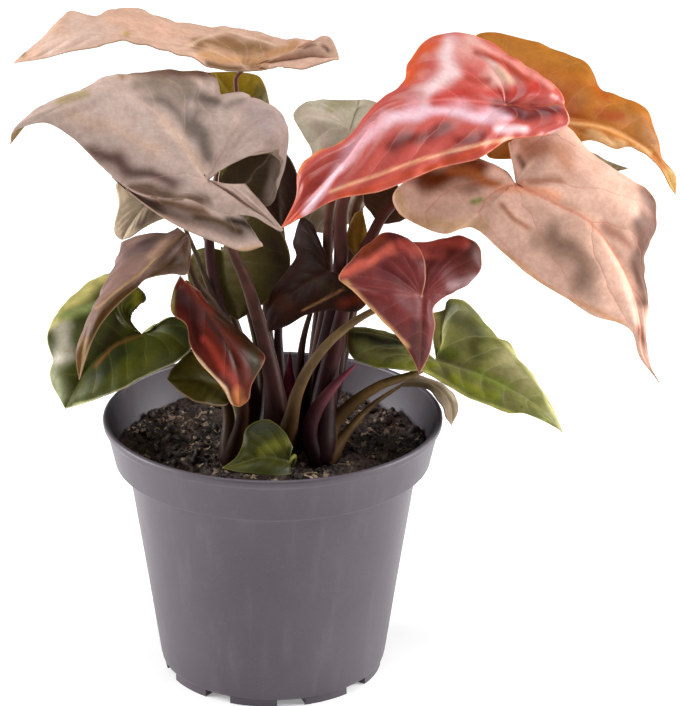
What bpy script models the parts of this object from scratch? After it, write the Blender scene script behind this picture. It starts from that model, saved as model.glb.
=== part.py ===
"""Arrowhead plant in a 12 cm nursery pot: pot, soil, leafy shoots and leaf blades.

Units are metres, +Z is up, and the origin is on the floor under the middle of the pot.
"""
import bpy
import bmesh
import numpy as np
from math import cos, pi, radians, sin
from mathutils import Matrix, Vector

MM = 0.001
OBJECT_NAME = "arrowhead_plant"

# Pot, a standard 12 cm nursery pot
POT_RIM_RADIUS = 60.0
POT_HEIGHT = 96.0
POT_WALL = 1.6
LIP_THICKNESS = 2.0
BAND_TOP_RADIUS = 58.6
BAND_FOOT_RADIUS = 56.0
BAND_DEPTH = 16.0
SHOULDER_DEPTH = 19.0
BODY_TOP_RADIUS = 51.0
BODY_FOOT_RADIUS = 40.0
FOOT_HEIGHT = 2.3
FLOOR_THICKNESS = 2.0
POT_SIDES = 54
FOOT_COUNT = 9
FOOT_FIRST_ANGLE = -99.5
FOOT_SPAN = 25.0
FOOT_WIDTH = 5.0
PAD_RADIUS = 9.0
DRAIN_COUNT = 6
DRAIN_RADIUS = 4.0
DRAIN_RING_RADIUS = 24.0

# Soil
GAP = 0.3
SOIL_SIDES = 36
SOIL_LEVEL = 84.0
SOIL_MOUND = 1.4
SOIL_BUMP = 0.8

# Leaf blades and the petioles that carry them
BLADE_THICKNESS = 0.8
COLUMNS = 3
FLAP_COLUMNS = 2
ROW_STEP = 0.06
STAND_OFF = 0.85
APPROACH = 3.5

# The plant is laid out as it is seen from the front, from a point above level. A point is
# (across, down, back): steps on the sighting grid, and millimetres behind the pot's axis.
SIGHT_ELEVATION = radians(21.7575)
SIGHT_ROLL = radians(0.3)
SIGHT_DISTANCE = 1300.0
SIGHT_CENTRE = np.array((23.6, 0.0, 119.1))
GRID_MIDDLE = (340.0, 353.0)
GRID_STEPS = 3705.65

FORWARD = np.array((0.0, cos(SIGHT_ELEVATION), -sin(SIGHT_ELEVATION)))
EYE = SIGHT_CENTRE - SIGHT_DISTANCE * FORWARD
LEVEL_RIGHT = np.array((1.0, 0.0, 0.0))
LEVEL_UP = np.array((0.0, sin(SIGHT_ELEVATION), cos(SIGHT_ELEVATION)))
RIGHT = LEVEL_RIGHT * cos(SIGHT_ROLL) + LEVEL_UP * sin(SIGHT_ROLL)
UP = LEVEL_UP * cos(SIGHT_ROLL) - LEVEL_RIGHT * sin(SIGHT_ROLL)


def sight(point):
    """The place in millimetres of a point given as (across, down, back)."""
    across, down, back = point
    ray = (FORWARD
           + RIGHT * (across - GRID_MIDDLE[0]) / GRID_STEPS
           + UP * (GRID_MIDDLE[1] - down) / GRID_STEPS)
    return EYE + ray * (back - EYE[1]) / ray[1]


# A blade has a rib from the petiole to the tip, and rows that run out from the rib to the margin.
# A row is its share of the rib, any points on the way, and the margin point. Share 0 is a lobe.
# Left and right are as on the upper face with the tip away from the viewer.
LEAVES = {
    "blade_high_left": dict(
        colour=(0.72, 0.50, 0.40), face=(0.0, -0.2, 1.0), bulge=0.8,
        rib=[(243, 68, 22), (215, 52, 20), (185, 45, 18), (150, 40, 16), (115, 35, 14), (70, 35, 12),
             (35, 50, 12), (13, 63, 12)],
        left=[(0, (275, 58, 17), (302, 44, 15)), (0, (290, 55, 15), (328, 36, 16)),
              (0, (339, 57, 12)), (0, (332, 60, 10)), (0, (308, 68, 9)), (0, (283, 66, 10)),
              (0, (262, 71, 14)), (.12, (213, 67, 12)), (.3, (185, 56, 8)), (.45, (155, 47, 6)),
              (.6, (122, 41, 5)), (.72, (97, 47, 3)), (.82, (69, 52, 5)), (.92, (40, 59, 8))],
        right=[(0, (268, 62, 24), (298, 52, 32)), (0, (280, 54, 28), (312, 41, 38)),
               (0, (258, 48, 33), (277, 38, 42)), (0, (240, 28, 48)), (.15, (200, 26, 52)),
               (.3, (170, 19, 50)), (.45, (140, 9, 46)), (.6, (115, 9, 42)), (.7, (95, 16, 34)),
               (.8, (70, 10, 28)), (.88, (52, 30, 20)), (.95, (29, 48, 15))]),
    "blade_great_left": dict(
        colour=(0.46, 0.38, 0.36), face=(-0.1, -0.7, 0.7), bulge=2.0,
        rib=[(207, 180, -22), (180, 140, -14), (150, 108, -10), (110, 90, -10), (65, 101, -14),
             (22, 120, -18), (9.5, 144, -20)],
        right=[(0, (222, 166, -20), (245, 158, -16), (278, 146, -10)),
               (0, (250, 138, -8), (280, 134, -4), (279, 180, 5)),
               (0, (246, 122, 0), (286, 122, 4), (267, 206, 9)),
               (0, (242, 108, 4), (264, 111, 10), (230, 193, 4)),
               (.05, (220, 115, 0), (246, 97, 12), (234, 150, 8)), (.15, (200, 100, 6), (220, 85, 15)),
               (.25, (202, 72, 16)), (.38, (165, 70, 14)), (.5, (121, 74, 8)), (.62, (92, 86, 0)),
               (.75, (62, 99, -6)), (.88, (37, 112, -13))],
        left=[(0, (225, 184, -26), (245, 184, -28)), (0, (262, 203, -30)), (0, (283, 231, -32)),
              (0, (255, 217, -32)), (0, (218, 212, -31)), (.04, (188, 200, -29)), (.12, (160, 198, -27)),
              (.22, (132, 191, -24)), (.34, (105, 170, -22)), (.48, (85, 150, -20)), (.6, (71, 137, -19)),
              (.76, (45, 123, -18)), (.9, (15, 131, -20))],
        flap=dict(first=3, last=8, margin=[(263, 246, -33), (243, 251, -33), (222, 244, -32),
                                           (196, 234, -31), (172, 222, -29), (148, 206, -26),
                                           (118, 182, -22)])),
    "blade_olive_rear": dict(
        colour=(0.30, 0.29, 0.06), face=(0.2, 0.0, 1.0),
        rib=[(240, 140, 28), (235, 105, 36), (215, 72, 42)],
        right=[(0, (268, 145, 30)), (0, (272, 120, 34)), (.3, (267, 92, 40)), (.6, (259, 77, 44)),
               (.8, (240, 72, 44))],
        left=[(0, (208, 140, 28)), (.2, (178, 112, 33)), (.5, (180, 88, 40)), (.8, (197, 74, 42))]),
    "blade_grey_middle": dict(
        colour=(0.44, 0.45, 0.36), face=(0.0, -0.7, 0.7),
        rib=[(350, 130, 30), (342, 165, 26), (332, 200, 21), (322, 233, 18)],
        right=[(0, (355, 113, 36), (360, 99, 40)), (0, (330, 100, 42)), (0, (306, 102, 40)),
               (0, (293, 115, 36)), (.1, (303, 135, 31)), (.3, (312, 157, 26)), (.6, (297, 195, 20)),
               (.8, (301, 222, 17)), (.93, (313, 231, 17))],
        left=[(0, (347, 113, 40), (345, 101, 46)), (0, (378, 102, 44)), (0, (398, 130, 37)),
              (.3, (388, 165, 30)), (.6, (368, 200, 24)), (.85, (348, 224, 20))]),
    "blade_pink_front": dict(
        colour=(0.66, 0.20, 0.17), face=(0.0, -0.6, 0.8), bulge=2.5,
        rib=[(505, 105, 2), (440, 100, -8), (385, 113, -17), (345, 160, -28), (310, 198, -36),
             (281, 228, -42)],
        right=[(0, (535, 109, 8), (563, 112, 10)), (0, (562, 96, 13)), (0, (547, 80, 16)),
               (0, (513, 57, 20)), (0, (488, 41, 21)), (0, (458, 33, 20)), (.12, (429, 39, 15)),
               (.25, (409, 61, 6)), (.35, (402, 84, -2)), (.48, (372, 107, -12)), (.6, (348, 137, -20)),
               (.7, (312, 154, -24)), (.8, (298, 172, -29)), (.9, (296, 197, -35))],
        left=[(0, (535, 105, 3), (564, 104, 3)), (0, (568, 125, -1)), (0, (540, 136, -8)),
              (0, (510, 139, -14)), (.12, (480, 158, -22)), (.25, (440, 168, -26)), (.38, (410, 180, -31)),
              (.5, (378, 192, -35)), (.65, (338, 199, -39)), (.8, (308, 214, -42))]),
    "blade_orange_right": dict(
        colour=(0.62, 0.33, 0.12), face=(0.1, -0.5, 0.85),
        rib=[(530, 112, 22), (565, 118, 20), (600, 125, 20), (640, 145, 22), (662, 166, 24),
             (676, 194, 26)],
        left=[(0, (505, 85, 32), (478, 60, 40)), (0, (476, 36, 46)), (0, (502, 33, 48)),
              (.02, (535, 42, 47)), (.12, (563, 51, 46)), (.25, (589, 66, 42)), (.38, (602, 88, 36)),
              (.5, (625, 99, 34)), (.62, (645, 108, 33)), (.72, (656, 133, 29)), (.82, (662, 157, 27)),
              (.92, (676, 176, 27))],
        right=[(0, (505, 135, 18), (485, 145, 18)), (0, (490, 158, 15)), (0, (520, 158, 12)),
               (.15, (560, 150, 12)), (.35, (590, 140, 14)), (.5, (615, 149, 16)), (.65, (632, 147, 18)),
               (.8, (657, 163, 20)), (.92, (670, 185, 23))]),
    "blade_salmon_right": dict(
        colour=(0.70, 0.45, 0.36), face=(0.2, -0.9, 0.4), bulge=2.5,
        rib=[(516, 184, -8), (555, 203, -15), (590, 222, -18), (615, 255, -18), (632, 290, -17),
             (640, 322, -15), (643, 352, -13), (660, 383, -10)],
        left=[(0, (512, 165, -2), (508, 143, 4)), (0, (535, 125, 8)), (0, (566, 126, 8)),
              (.04, (595, 155, 4)), (.12, (630, 178, 1)), (.25, (654, 195, 0)), (.38, (658, 222, -3)),
              (.48, (648, 247, -8)), (.56, (645, 272, -11)), (.68, (649, 300, -12)),
              (.82, (647, 336, -12)), (.92, (651, 366, -11))],
        right=[(0, (505, 170, -4), (475, 157, -2)), (0, (440, 165, -4)), (0, (396, 190, -10)),
               (0, (398, 212, -14)), (0, (420, 226, -17)), (0, (445, 234, -18)), (0, (473, 228, -17)),
               (.04, (500, 250, -20)), (.15, (530, 276, -22)), (.28, (560, 294, -23)),
               (.42, (592, 315, -23)), (.56, (620, 324, -20)), (.72, (633, 334, -16)),
               (.88, (640, 358, -13))]),
    "blade_small_rear": dict(
        colour=(0.42, 0.43, 0.33), face=(0.1, -0.5, 0.85),
        rib=[(560, 180, 34), (600, 170, 30), (628, 168, 28)],
        left=[(0, (555, 155, 44)), (.3, (585, 150, 40)), (.7, (608, 161, 33))],
        right=[(0, (560, 200, 28)), (.3, (585, 195, 26)), (.7, (610, 174, 27))]),
    "blade_red_centre": dict(
        colour=(0.38, 0.11, 0.12), face=(-0.1, -0.9, 0.4), bulge=2.0,
        rib=[(422, 297, -27), (421, 322, -31), (420, 348, -31), (419, 375, -28)],
        right=[(0, (426, 276, -24), (421, 254, -19), (408, 238, -12)),
               (0, (404, 260, -24), (392, 247, -21), (387, 233, -12)),
               (0, (385, 270, -28), (366, 258, -27), (360, 250, -19)), (0, (339, 276, -34)),
               (0, (352, 290, -34)), (.08, (366, 304, -34)), (.3, (383, 322, -33)),
               (.55, (400, 340, -32)), (.8, (412, 358, -30))],
        left=[(0, (424, 280, -20), (414, 262, -12), (402, 242, -7)), (0, (437, 239, -7)),
              (0, (463, 237, -6)), (0, (479, 249, -6)), (0, (480, 268, -9)), (0, (468, 284, -14)),
              (0, (447, 296, -21)), (.12, (434, 308, -26)), (.4, (435, 328, -28)),
              (.75, (430, 354, -29))]),
    "blade_green_right": dict(
        colour=(0.36, 0.40, 0.18), face=(0.1, -0.5, 0.8), bulge=2.0,
        rib=[(436, 360, 2), (480, 375, -4), (520, 395, -9), (545, 413, -12), (563, 432, -12)],
        left=[(0, (433, 340, 7), (430, 313, 13)), (0, (445, 309, 15)), (0, (449, 299, 18)), (0, (463, 301, 21)),
              (.05, (478, 315, 20)), (.2, (497, 336, 17)), (.32, (508, 342, 16)), (.45, (521, 360, 10)),
              (.6, (532, 373, 6)), (.75, (543, 392, -1)), (.9, (556, 415, -8))],
        right=[(0, (415, 342, 3), (385, 331, 3)), (0, (362, 327, 3)), (0, (348, 330, 2)),
               (0, (350, 354, -1)), (0, (372, 365, -6)), (0, (400, 370, -9)), (0, (425, 372, -7)),
               (.25, (448, 386, -9)), (.4, (468, 398, -11)), (.55, (488, 405, -13)),
               (.7, (508, 413, -15)), (.82, (525, 414, -15)), (.93, (545, 422, -14))]),
    "blade_over_rim": dict(
        colour=(0.40, 0.37, 0.27), face=(0.5, -0.4, 0.8), bulge=1.0,
        rib=[(405, 381, 10), (427, 382, 10), (444, 394, 9), (451, 408, 8), (452, 425, 6)],
        left=[(0, (399, 377, 14)), (0, (417, 374, 16)), (.25, (437, 380, 15)), (.5, (454, 394, 13)),
              (.75, (458, 410, 10))],
        right=[(0, (403, 386, 8)), (.1, (417, 386, 6)), (.35, (431, 390, 3)), (.6, (441, 404, 2)),
               (.8, (447, 418, 3))]),
    "blade_green_left": dict(
        colour=(0.30, 0.35, 0.12), face=(-0.3, -0.5, 0.8), bulge=2.0,
        rib=[(142, 334, -15), (115, 345, -18), (92, 365, -24), (75, 390, -28), (65, 409, -29)],
        right=[(0, (133, 325, -12), (130, 312, -8)), (0, (129, 322, -12), (127, 309, -6.5), (146, 300, -4)),
               (0, (126, 321, -12), (122, 304, -4), (138, 287, 2)),
               (0, (121, 320, -11), (114, 300, -1), (109, 274, 9)),
               (.12, (89, 282, 8)), (.25, (71, 296, 3)), (.38, (58, 310, -4)),
               (.5, (49, 328, -10)), (.6, (48, 343, -15)), (.7, (53, 361, -19)), (.8, (50, 375, -23)),
               (.9, (57, 393, -26))],
        left=[(0, (152, 330, -17), (161, 322, -18)), (0, (176, 317, -18)), (0, (194, 326, -21)),
              (0, (191, 347, -27)), (0, (178, 360, -32)), (.1, (158, 370, -35)), (.28, (138, 380, -37)),
              (.48, (119, 391, -38)), (.7, (92, 401, -36)), (.87, (76, 406, -32))]),
    "blade_mauve_left": dict(
        colour=(0.36, 0.27, 0.26), face=(-0.5, -0.4, 0.8), bulge=1.5,
        rib=[(185, 233, -16), (160, 254, -24), (140, 275, -30), (115, 293, -36), (95, 315, -40),
             (84, 345, -44), (79, 380, -46)],
        right=[(0, (177, 227, -10)), (0, (150, 242, -5)), (0, (130, 242, 0)), (.05, (121, 244, 2)),
               (.28, (115, 265, -6)), (.45, (105, 286, -18)), (.58, (95, 304, -30)), (.7, (85, 324, -37)),
               (.84, (77, 347, -43)), (.93, (76, 363, -45))],
        left=[(0, (190, 241, -17), (191, 254, -18)), (0, (188, 274, -22)), (.08, (172, 274, -26)),
              (.22, (147, 279, -31)), (.35, (136, 289, -34)), (.5, (121, 302, -38)), (.65, (103, 322, -42)),
              (.8, (92, 341, -45)), (.92, (84, 362, -47))]),
    "blade_grey_left": dict(
        colour=(0.33, 0.33, 0.22), face=(-0.3, -0.8, 0.5), bulge=1.0,
        rib=[(165, 190, -4), (145, 205, -8), (130, 225, -11), (122, 240, -12)],
        right=[(0, (150, 176, 0)), (0, (128, 178, -2)), (0, (116, 184, -3)), (.3, (119, 205, -7)),
               (.6, (114, 228, -10)), (.85, (117, 237, -11))],
        left=[(0, (178, 200, -8)), (0, (180, 213, -10)), (.1, (160, 220, -12)), (.4, (142, 229, -13)),
              (.7, (131, 237, -13))]),
    "blade_red_left": dict(
        colour=(0.40, 0.16, 0.10), face=(-0.1, -0.9, 0.4), bulge=1.5,
        rib=[(186, 282, -30), (207, 312, -35), (228, 345, -40), (238, 375, -42), (240, 407, -40)],
        right=[(0, (180, 275, -29)), (0, (173, 292, -32)), (0, (172, 313, -36)), (.1, (186, 325, -39)),
               (.25, (190, 345, -42)), (.4, (200, 363, -44)), (.55, (216, 380, -45)),
               (.75, (226, 394, -44)), (.9, (232, 405, -42))],
        left=[(0, (200, 291, -28)), (0, (208, 306, -28)), (.1, (220, 318, -28)), (.22, (241, 331, -28)),
              (.33, (257, 345, -29)), (.43, (265, 355, -31)), (.55, (262, 366, -35)), (.7, (254, 383, -39)),
              (.88, (250, 399, -40))]),
    "blade_dark_left": dict(
        colour=(0.10, 0.10, 0.02), face=(0.0, -0.6, 0.8), bulge=1.0,
        rib=[(226, 388, -22), (200, 380, -27), (167, 379, -32)],
        right=[(0, (222, 370, -14)), (0, (205, 356, -14)), (.25, (191, 350, -18)), (.55, (180, 360, -24)),
               (.8, (171, 370, -29))],
        left=[(0, (232, 398, -27)), (.05, (226, 405, -31)), (.35, (210, 405, -35)), (.6, (195, 401, -37)),
              (.85, (180, 392, -36))]),
    "blade_on_soil": dict(
        colour=(0.20, 0.24, 0.03), face=(0.0, -0.7, 0.7), bulge=1.5,
        rib=[(289, 462, -45), (265, 457, -47), (242, 463, -50), (222, 468, -51)],
        right=[(0, (293, 447, -43)), (0, (284, 431, -40)), (.08, (270, 420, -38)), (.2, (257, 421, -39)),
               (.38, (246, 429, -41)), (.55, (242, 445, -44)), (.78, (236, 457, -48))],
        left=[(0, (292, 474, -48)), (.1, (279, 476, -51)), (.4, (255, 474, -53)), (.75, (238, 472, -53))]),
    "blade_brown_centre": dict(
        colour=(0.13, 0.07, 0.04), face=(-0.1, -0.7, 0.7), bulge=1.5,
        rib=[(330, 272, -8), (305, 285, -13), (282, 305, -18), (268, 332, -23)],
        right=[(0, (322, 262, -3), (314, 248, 1)), (0, (314, 227, 5)), (0, (301, 218, 6)),
               (0, (293, 243, 2)), (.1, (296, 256, -3)), (.3, (286, 270, -7)), (.5, (272, 289, -11)),
               (.75, (266, 312, -17))],
        left=[(0, (346, 276, -10)), (0, (368, 297, -12)), (0, (356, 312, -14)), (.15, (330, 310, -17)),
              (.4, (306, 315, -20)), (.7, (287, 326, -22))]),
    "blade_olive_stems": dict(
        colour=(0.14, 0.14, 0.05), face=(0.0, -0.9, 0.4),
        rib=[(222, 250, 14), (224, 280, 11), (238, 320, 8)],
        right=[(0, (208, 247, 17)), (0, (192, 255, 15)), (.4, (188, 280, 12)), (.7, (204, 304, 9))],
        left=[(0, (240, 228, 14)), (0, (268, 222, 9)), (.15, (288, 247, 6)), (.5, (287, 278, 5)),
              (.75, (262, 305, 7))]),
    "blade_dark_back": dict(
        colour=(0.14, 0.11, 0.09), face=(0.2, -0.9, 0.3),
        rib=[(268, 150, 32), (276, 185, 28), (280, 228, 22)],
        right=[(0, (254, 150, 34)), (.2, (250, 175, 30)), (.6, (262, 205, 26))],
        left=[(0, (278, 146, 34)), (.1, (290, 158, 31)), (.35, (298, 178, 28)), (.65, (296, 203, 25)),
              (.85, (288, 220, 23))]),
    "blade_olive_sliver": dict(
        colour=(0.20, 0.13, 0.04), face=(0.0, -0.9, 0.4),
        rib=[(362, 210, 6), (357, 238, 2), (361, 263, 0)],
        right=[(0, (355, 213, 6)), (.2, (349, 226, 4)), (.5, (346, 241, 2)), (.8, (352, 253, 0))],
        left=[(.1, (364, 216, 5)), (.4, (368, 238, 3)), (.8, (366, 252, 1))]),
    "blade_rear_left": dict(
        colour=(0.40, 0.38, 0.26), face=(-0.3, 0.4, 0.9),
        rib=[(168, 130, 38), (150, 115, 50), (130, 120, 60), (105, 130, 66)],
        right=[(0, (200, 110, 46)), (.1, (190, 92, 56)), (.4, (160, 88, 64)), (.75, (125, 105, 66))],
        left=[(0, (172, 150, 22)), (.1, (150, 158, 24)), (.4, (125, 150, 38)), (.75, (110, 138, 54))]),
    "blade_rear_right": dict(
        colour=(0.50, 0.28, 0.20), face=(0.3, 0.4, 0.9),
        rib=[(440, 90, 40), (465, 80, 54), (500, 85, 64), (535, 105, 70)],
        left=[(0, (430, 70, 52)), (.1, (445, 58, 62)), (.4, (475, 62, 70)), (.75, (510, 80, 72))],
        right=[(0, (448, 104, 28)), (.1, (465, 112, 28)), (.4, (500, 110, 44)), (.75, (525, 110, 60))]),
    "blade_rear_low": dict(
        colour=(0.12, 0.08, 0.04), face=(0.1, -0.9, 0.4), bulge=1.0,
        rib=[(378, 223, 4.5), (387, 205, 4.5), (397, 184, 5)],
        left=[(0, (371, 212, 5)), (.3, (364, 203, 5)), (.6, (364, 189, 5)), (.8, (378, 183, 5))],
        right=[(0, (388, 224, 5)), (.1, (405, 219, 5)), (.4, (407, 207, 5)), (.7, (403, 194, 5))]),
}

# Each shoot is a short stem in the soil with the petioles of its leaves. A petiole is its leaf,
# its two radii in millimetres and its way up from the stem. A spear is a leaf still rolled up.
SHOOTS = {
    "shoot_left": dict(
        foot=(-15.0, -21.0), petioles=[
            ("blade_green_left", 2.2, 1.1, [(228, 410, -14), (208, 365, -4), (172, 345, -3), (150, 338, -8)]),
            ("blade_mauve_left", 2.2, 1.1, [(243, 390, -12), (232, 338, -12), (215, 307, -17),
                                            (197, 283, -18), (187, 258, -14), (180, 241, -12)]),
            ("blade_red_left", 2.0, 1.0, [(243, 405, -28), (226, 350, -31), (206, 306, -22),
                                          (192, 288, -20)]),
            ("blade_dark_left", 1.8, 1.0, [(239, 428, -22), (234, 402, -17), (228, 391, -16)])],
        spears=[]),
    "shoot_front": dict(
        foot=(2.0, -13.0), petioles=[
            ("blade_great_left", 3.0, 1.4, [(275, 400, -16), (265, 345, -14), (255, 310, -13),
                                            (245, 280, -11), (232, 250, -9), (217, 208, -10)]),
            ("blade_red_centre", 2.4, 1.2, [(290, 420, -22), (297, 392, -24), (311, 364, -24),
                                            (335, 336, -24), (368, 313, -20), (398, 303, -16)]),
            ("blade_on_soil", 1.6, 0.9, [(291, 463, -30), (294, 456, -38)])],
        spears=[]),
    "shoot_right": dict(
        foot=(17.0, -19.0), petioles=[
            ("blade_salmon_right", 2.8, 1.3, [(332, 395, -10), (345, 330, -6), (356, 275, -4),
                                              (368, 243, -3), (383, 215, -2), (402, 200, 0),
                                              (450, 190, 4), (497, 187, 4)]),
            ("blade_green_right", 2.4, 1.2, [(329, 430, -13), (350, 405, -10), (380, 385, -6),
                                             (410, 375, 0), (428, 367, 6)]),
            ("blade_over_rim", 1.8, 0.9, [(350, 428, -10), (372, 405, -2), (392, 391, 5)])],
        spears=[(3.0, [(335, 425, -8), (346, 392, -4), (357, 364, 1)])]),
    "shoot_rear_left": dict(
        foot=(-7.0, 7.0), petioles=[
            ("blade_high_left", 2.4, 1.3, [(243, 370, 6), (220, 310, 2), (209, 245, 3), (215, 190, 10),
                                           (231, 120, 19), (236, 94, 23)]),
            ("blade_olive_rear", 1.8, 1.0, [(275, 400, 10), (268, 330, 16), (260, 240, 22),
                                            (249, 175, 33)]),
            ("blade_olive_stems", 1.8, 1.0, [(262, 380, 14), (248, 310, 18), (231, 268, 20)]),
            ("blade_dark_back", 1.8, 1.0, [(278, 400, 8), (278, 330, 18), (283, 250, 30),
                                           (274, 180, 38)]),
            ("blade_grey_left", 1.8, 1.0, [(238, 370, 4), (210, 290, -1), (182, 222, -1)]),
            ("blade_rear_left", 2.0, 1.1, [(250, 380, 16), (230, 310, 24), (200, 220, 27),
                                           (176, 160, 29)])],
        spears=[(2.8, [(292, 400, 2), (291, 350, 6)])]),
    "shoot_rear_right": dict(
        foot=(15.0, 5.0), petioles=[
            ("blade_pink_front", 3.0, 1.4, [(323, 370, 1), (333, 310, 0), (340, 262, -2), (343, 200, -3),
                                            (375, 158, -1), (440, 128, 6), (487, 113, 12)]),
            ("blade_grey_middle", 2.2, 1.2, [(314, 370, 8), (320, 300, 16), (330, 245, 26),
                                             (342, 190, 33), (350, 140, 37)]),
            ("blade_orange_right", 2.4, 1.3, [(333, 370, 6), (345, 300, 8), (353, 240, 9), (358, 200, 9),
                                              (400, 152, 16), (480, 129, 29)]),
            ("blade_small_rear", 1.8, 1.0, [(338, 370, 10), (355, 300, 14), (374, 235, 14),
                                            (393, 203, 20), (460, 193, 32), (535, 188, 42)]),
            ("blade_brown_centre", 1.8, 1.0, [(301, 390, 1), (302, 345, 0), (315, 300, -3)]),
            ("blade_olive_sliver", 1.6, 0.9, [(340, 360, 6), (356, 290, 8), (362, 230, 9)]),
            ("blade_rear_right", 2.2, 1.2, [(318, 360, 6), (327, 290, 4), (330, 205, 2), (360, 140, 10),
                                            (400, 122, 30)]),
            ("blade_rear_low", 1.8, 1.0, [(336, 370, 8), (349, 300, 10), (366, 250, 10)])],
        spears=[]),
}
STEM_RADIUS = 5.0
STEM_DEPTH = 14.0
STEM_RISE = 5.0


def clear_scene():
    for item in list(bpy.data.objects):
        bpy.data.objects.remove(item, do_unlink=True)


def new_collection(name):
    collection = bpy.data.collections.new(name)
    bpy.context.scene.collection.children.link(collection)
    return collection


def material(name, colour, roughness, metallic=0.0):
    surface = bpy.data.materials.new(name)
    surface.use_nodes = True
    shader = surface.node_tree.nodes["Principled BSDF"]
    shader.inputs["Base Color"].default_value = (*colour, 1.0)
    shader.inputs["Roughness"].default_value = roughness
    shader.inputs["Metallic"].default_value = metallic
    return surface


def add_object(name, mesh, collection, surface=None):
    item = bpy.data.objects.new(name, mesh)
    collection.objects.link(item)
    if surface is not None:
        mesh.materials.append(surface)
    return item


def mark_guide(item):
    """A body that only cuts or joins another one isn't a sub-part of its own."""
    item.hide_render = True
    item.display_type = "WIRE"


def spline(points, place):
    """A point on the smooth curve through the points, at a place from 0 to the last index."""
    points = np.asarray(points, float)
    last = len(points) - 1
    index = int(min(max(np.floor(place), 0), last - 1))
    share = place - index
    b = points[index]
    c = points[index + 1]
    a = points[index - 1] if index > 0 else 2 * b - c
    d = points[index + 2] if index + 2 <= last else 2 * c - b
    return 0.5 * (2 * b + (c - a) * share + (2 * a - 5 * b + 4 * c - d) * share ** 2
                  + (3 * b - a - 3 * c + d) * share ** 3)


def along(points, shares):
    """Points at the given shares of the length of the smooth curve."""
    places = np.linspace(0, len(points) - 1, 16 * (len(points) - 1) + 1)
    fine = np.array([spline(points, place) for place in places])
    steps = np.linalg.norm(np.diff(fine, axis=0), axis=1)
    length = np.concatenate([[0.0], np.cumsum(steps)])
    return np.array([[np.interp(share * length[-1], length, fine[:, axis]) for axis in range(3)]
                     for share in shares])


def rib_shares(leaf):
    """Where both halves of a blade have their rows along the rib, from the base to the tip."""
    wanted = sorted(row[0] for row in leaf["left"] + leaf["right"] if row[0] > 0)
    shares = [0.0]
    for share in wanted + [1.0]:
        if share - shares[-1] > 2 * ROW_STEP:
            shares.append((share + shares[-1]) / 2)
        if share - shares[-1] >= ROW_STEP or share == 1.0:
            shares.append(share)
    return shares[1:]


def leaf_rows(leaf, side, columns, fineness):
    """One half of a blade: its rows from the rib out to the margin, lobe first, and their places."""
    rib = [sight(point) for point in leaf["rib"]]
    face = np.array(leaf["face"])
    face = face / np.linalg.norm(face)
    shares = np.linspace(0, 1, columns + 1)
    listed = list(leaf[side])
    if listed[0][0] > 0:
        listed.insert(0, (0, leaf["rib"][0]))
    rows = []
    for share, *points in listed:
        points = [sight(point) for point in points]
        start = along(rib, [share])[0]
        if len(points) == 1:
            reach = np.linalg.norm(points[0] - start)
            lift = face * leaf.get("bulge", 2.0) * min(1.0, reach / 25.0)
            points.insert(0, 0.5 * (start + points[0]) + lift)
        rows.append(along([start] + points, shares))
    rows.append(np.repeat([rib[-1]], columns + 1, axis=0))
    rows = np.array(rows)
    row_shares = [row[0] for row in listed] + [1.0]
    last_lobe = max(index for index, share in enumerate(row_shares) if share == 0)
    places = [step / fineness for step in range(last_lobe * fineness + 1)]
    rib_places = rib_shares(leaf)
    places += list(np.interp(rib_places, row_shares[last_lobe:], range(last_lobe, len(rows))))
    grid = np.array([[spline(rows[:, column], place) for column in range(columns + 1)]
                     for place in places])
    grid[:, 0] = rib[0]
    grid[-len(rib_places):, 0] = along(rib, rib_places)
    return grid, places


def flap_rows(leaf, half, places, columns):
    """The turned-under strip of a margin: it hangs from part of the left margin."""
    flap = leaf["flap"]
    edge = [sight(point) for point in flap["margin"]]
    rows = []
    for row, place in zip(half, places):
        if flap["first"] <= place <= flap["last"]:
            share = (place - flap["first"]) / (flap["last"] - flap["first"])
            top = row[-1]
            foot = spline(edge, share * (len(edge) - 1))
            rows.append([top + (foot - top) * column / columns for column in range(columns + 1)])
    return np.array(rows)


def add_sheet(mesh_data, rows, flip):
    """A grid laid on the rows."""
    count = len(rows) - 1
    columns = len(rows[0]) - 1
    made = bmesh.ops.create_grid(mesh_data, x_segments=count, y_segments=columns, size=1.0)
    for vertex in made["verts"]:
        step = round((vertex.co.x + 1) / 2 * count)
        column = round((vertex.co.y + 1) / 2 * columns)
        vertex.co = Vector(rows[step][column] * MM)
    if flip:
        faces = list({face for vertex in made["verts"] for face in vertex.link_faces})
        bmesh.ops.reverse_faces(mesh_data, faces=faces)


def make_blade(name, leaf, collection):
    """A thin sheet: two halves welded on the rib, split into triangles, then given thickness."""
    mesh_data = bmesh.new()
    fineness = 2 if len(leaf["rib"]) > 4 else 1
    right, right_places = leaf_rows(leaf, "right", COLUMNS, fineness)
    left, left_places = leaf_rows(leaf, "left", COLUMNS, fineness)
    add_sheet(mesh_data, right, True)
    add_sheet(mesh_data, left, False)
    if "flap" in leaf:
        add_sheet(mesh_data, flap_rows(leaf, left, left_places, FLAP_COLUMNS), False)
    bmesh.ops.remove_doubles(mesh_data, verts=mesh_data.verts, dist=0.05 * MM)
    bmesh.ops.triangulate(mesh_data, faces=mesh_data.faces, quad_method="SHORT_EDGE")
    mesh = bpy.data.meshes.new(name)
    mesh_data.to_mesh(mesh)
    mesh_data.free()
    mesh.shade_smooth()
    blade = add_object(name, mesh, collection, material(name, leaf["colour"], 0.42))
    body = blade.modifiers.new("thickness", "SOLIDIFY")
    body.thickness = BLADE_THICKNESS * MM
    body.offset = 0.0
    return blade


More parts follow.
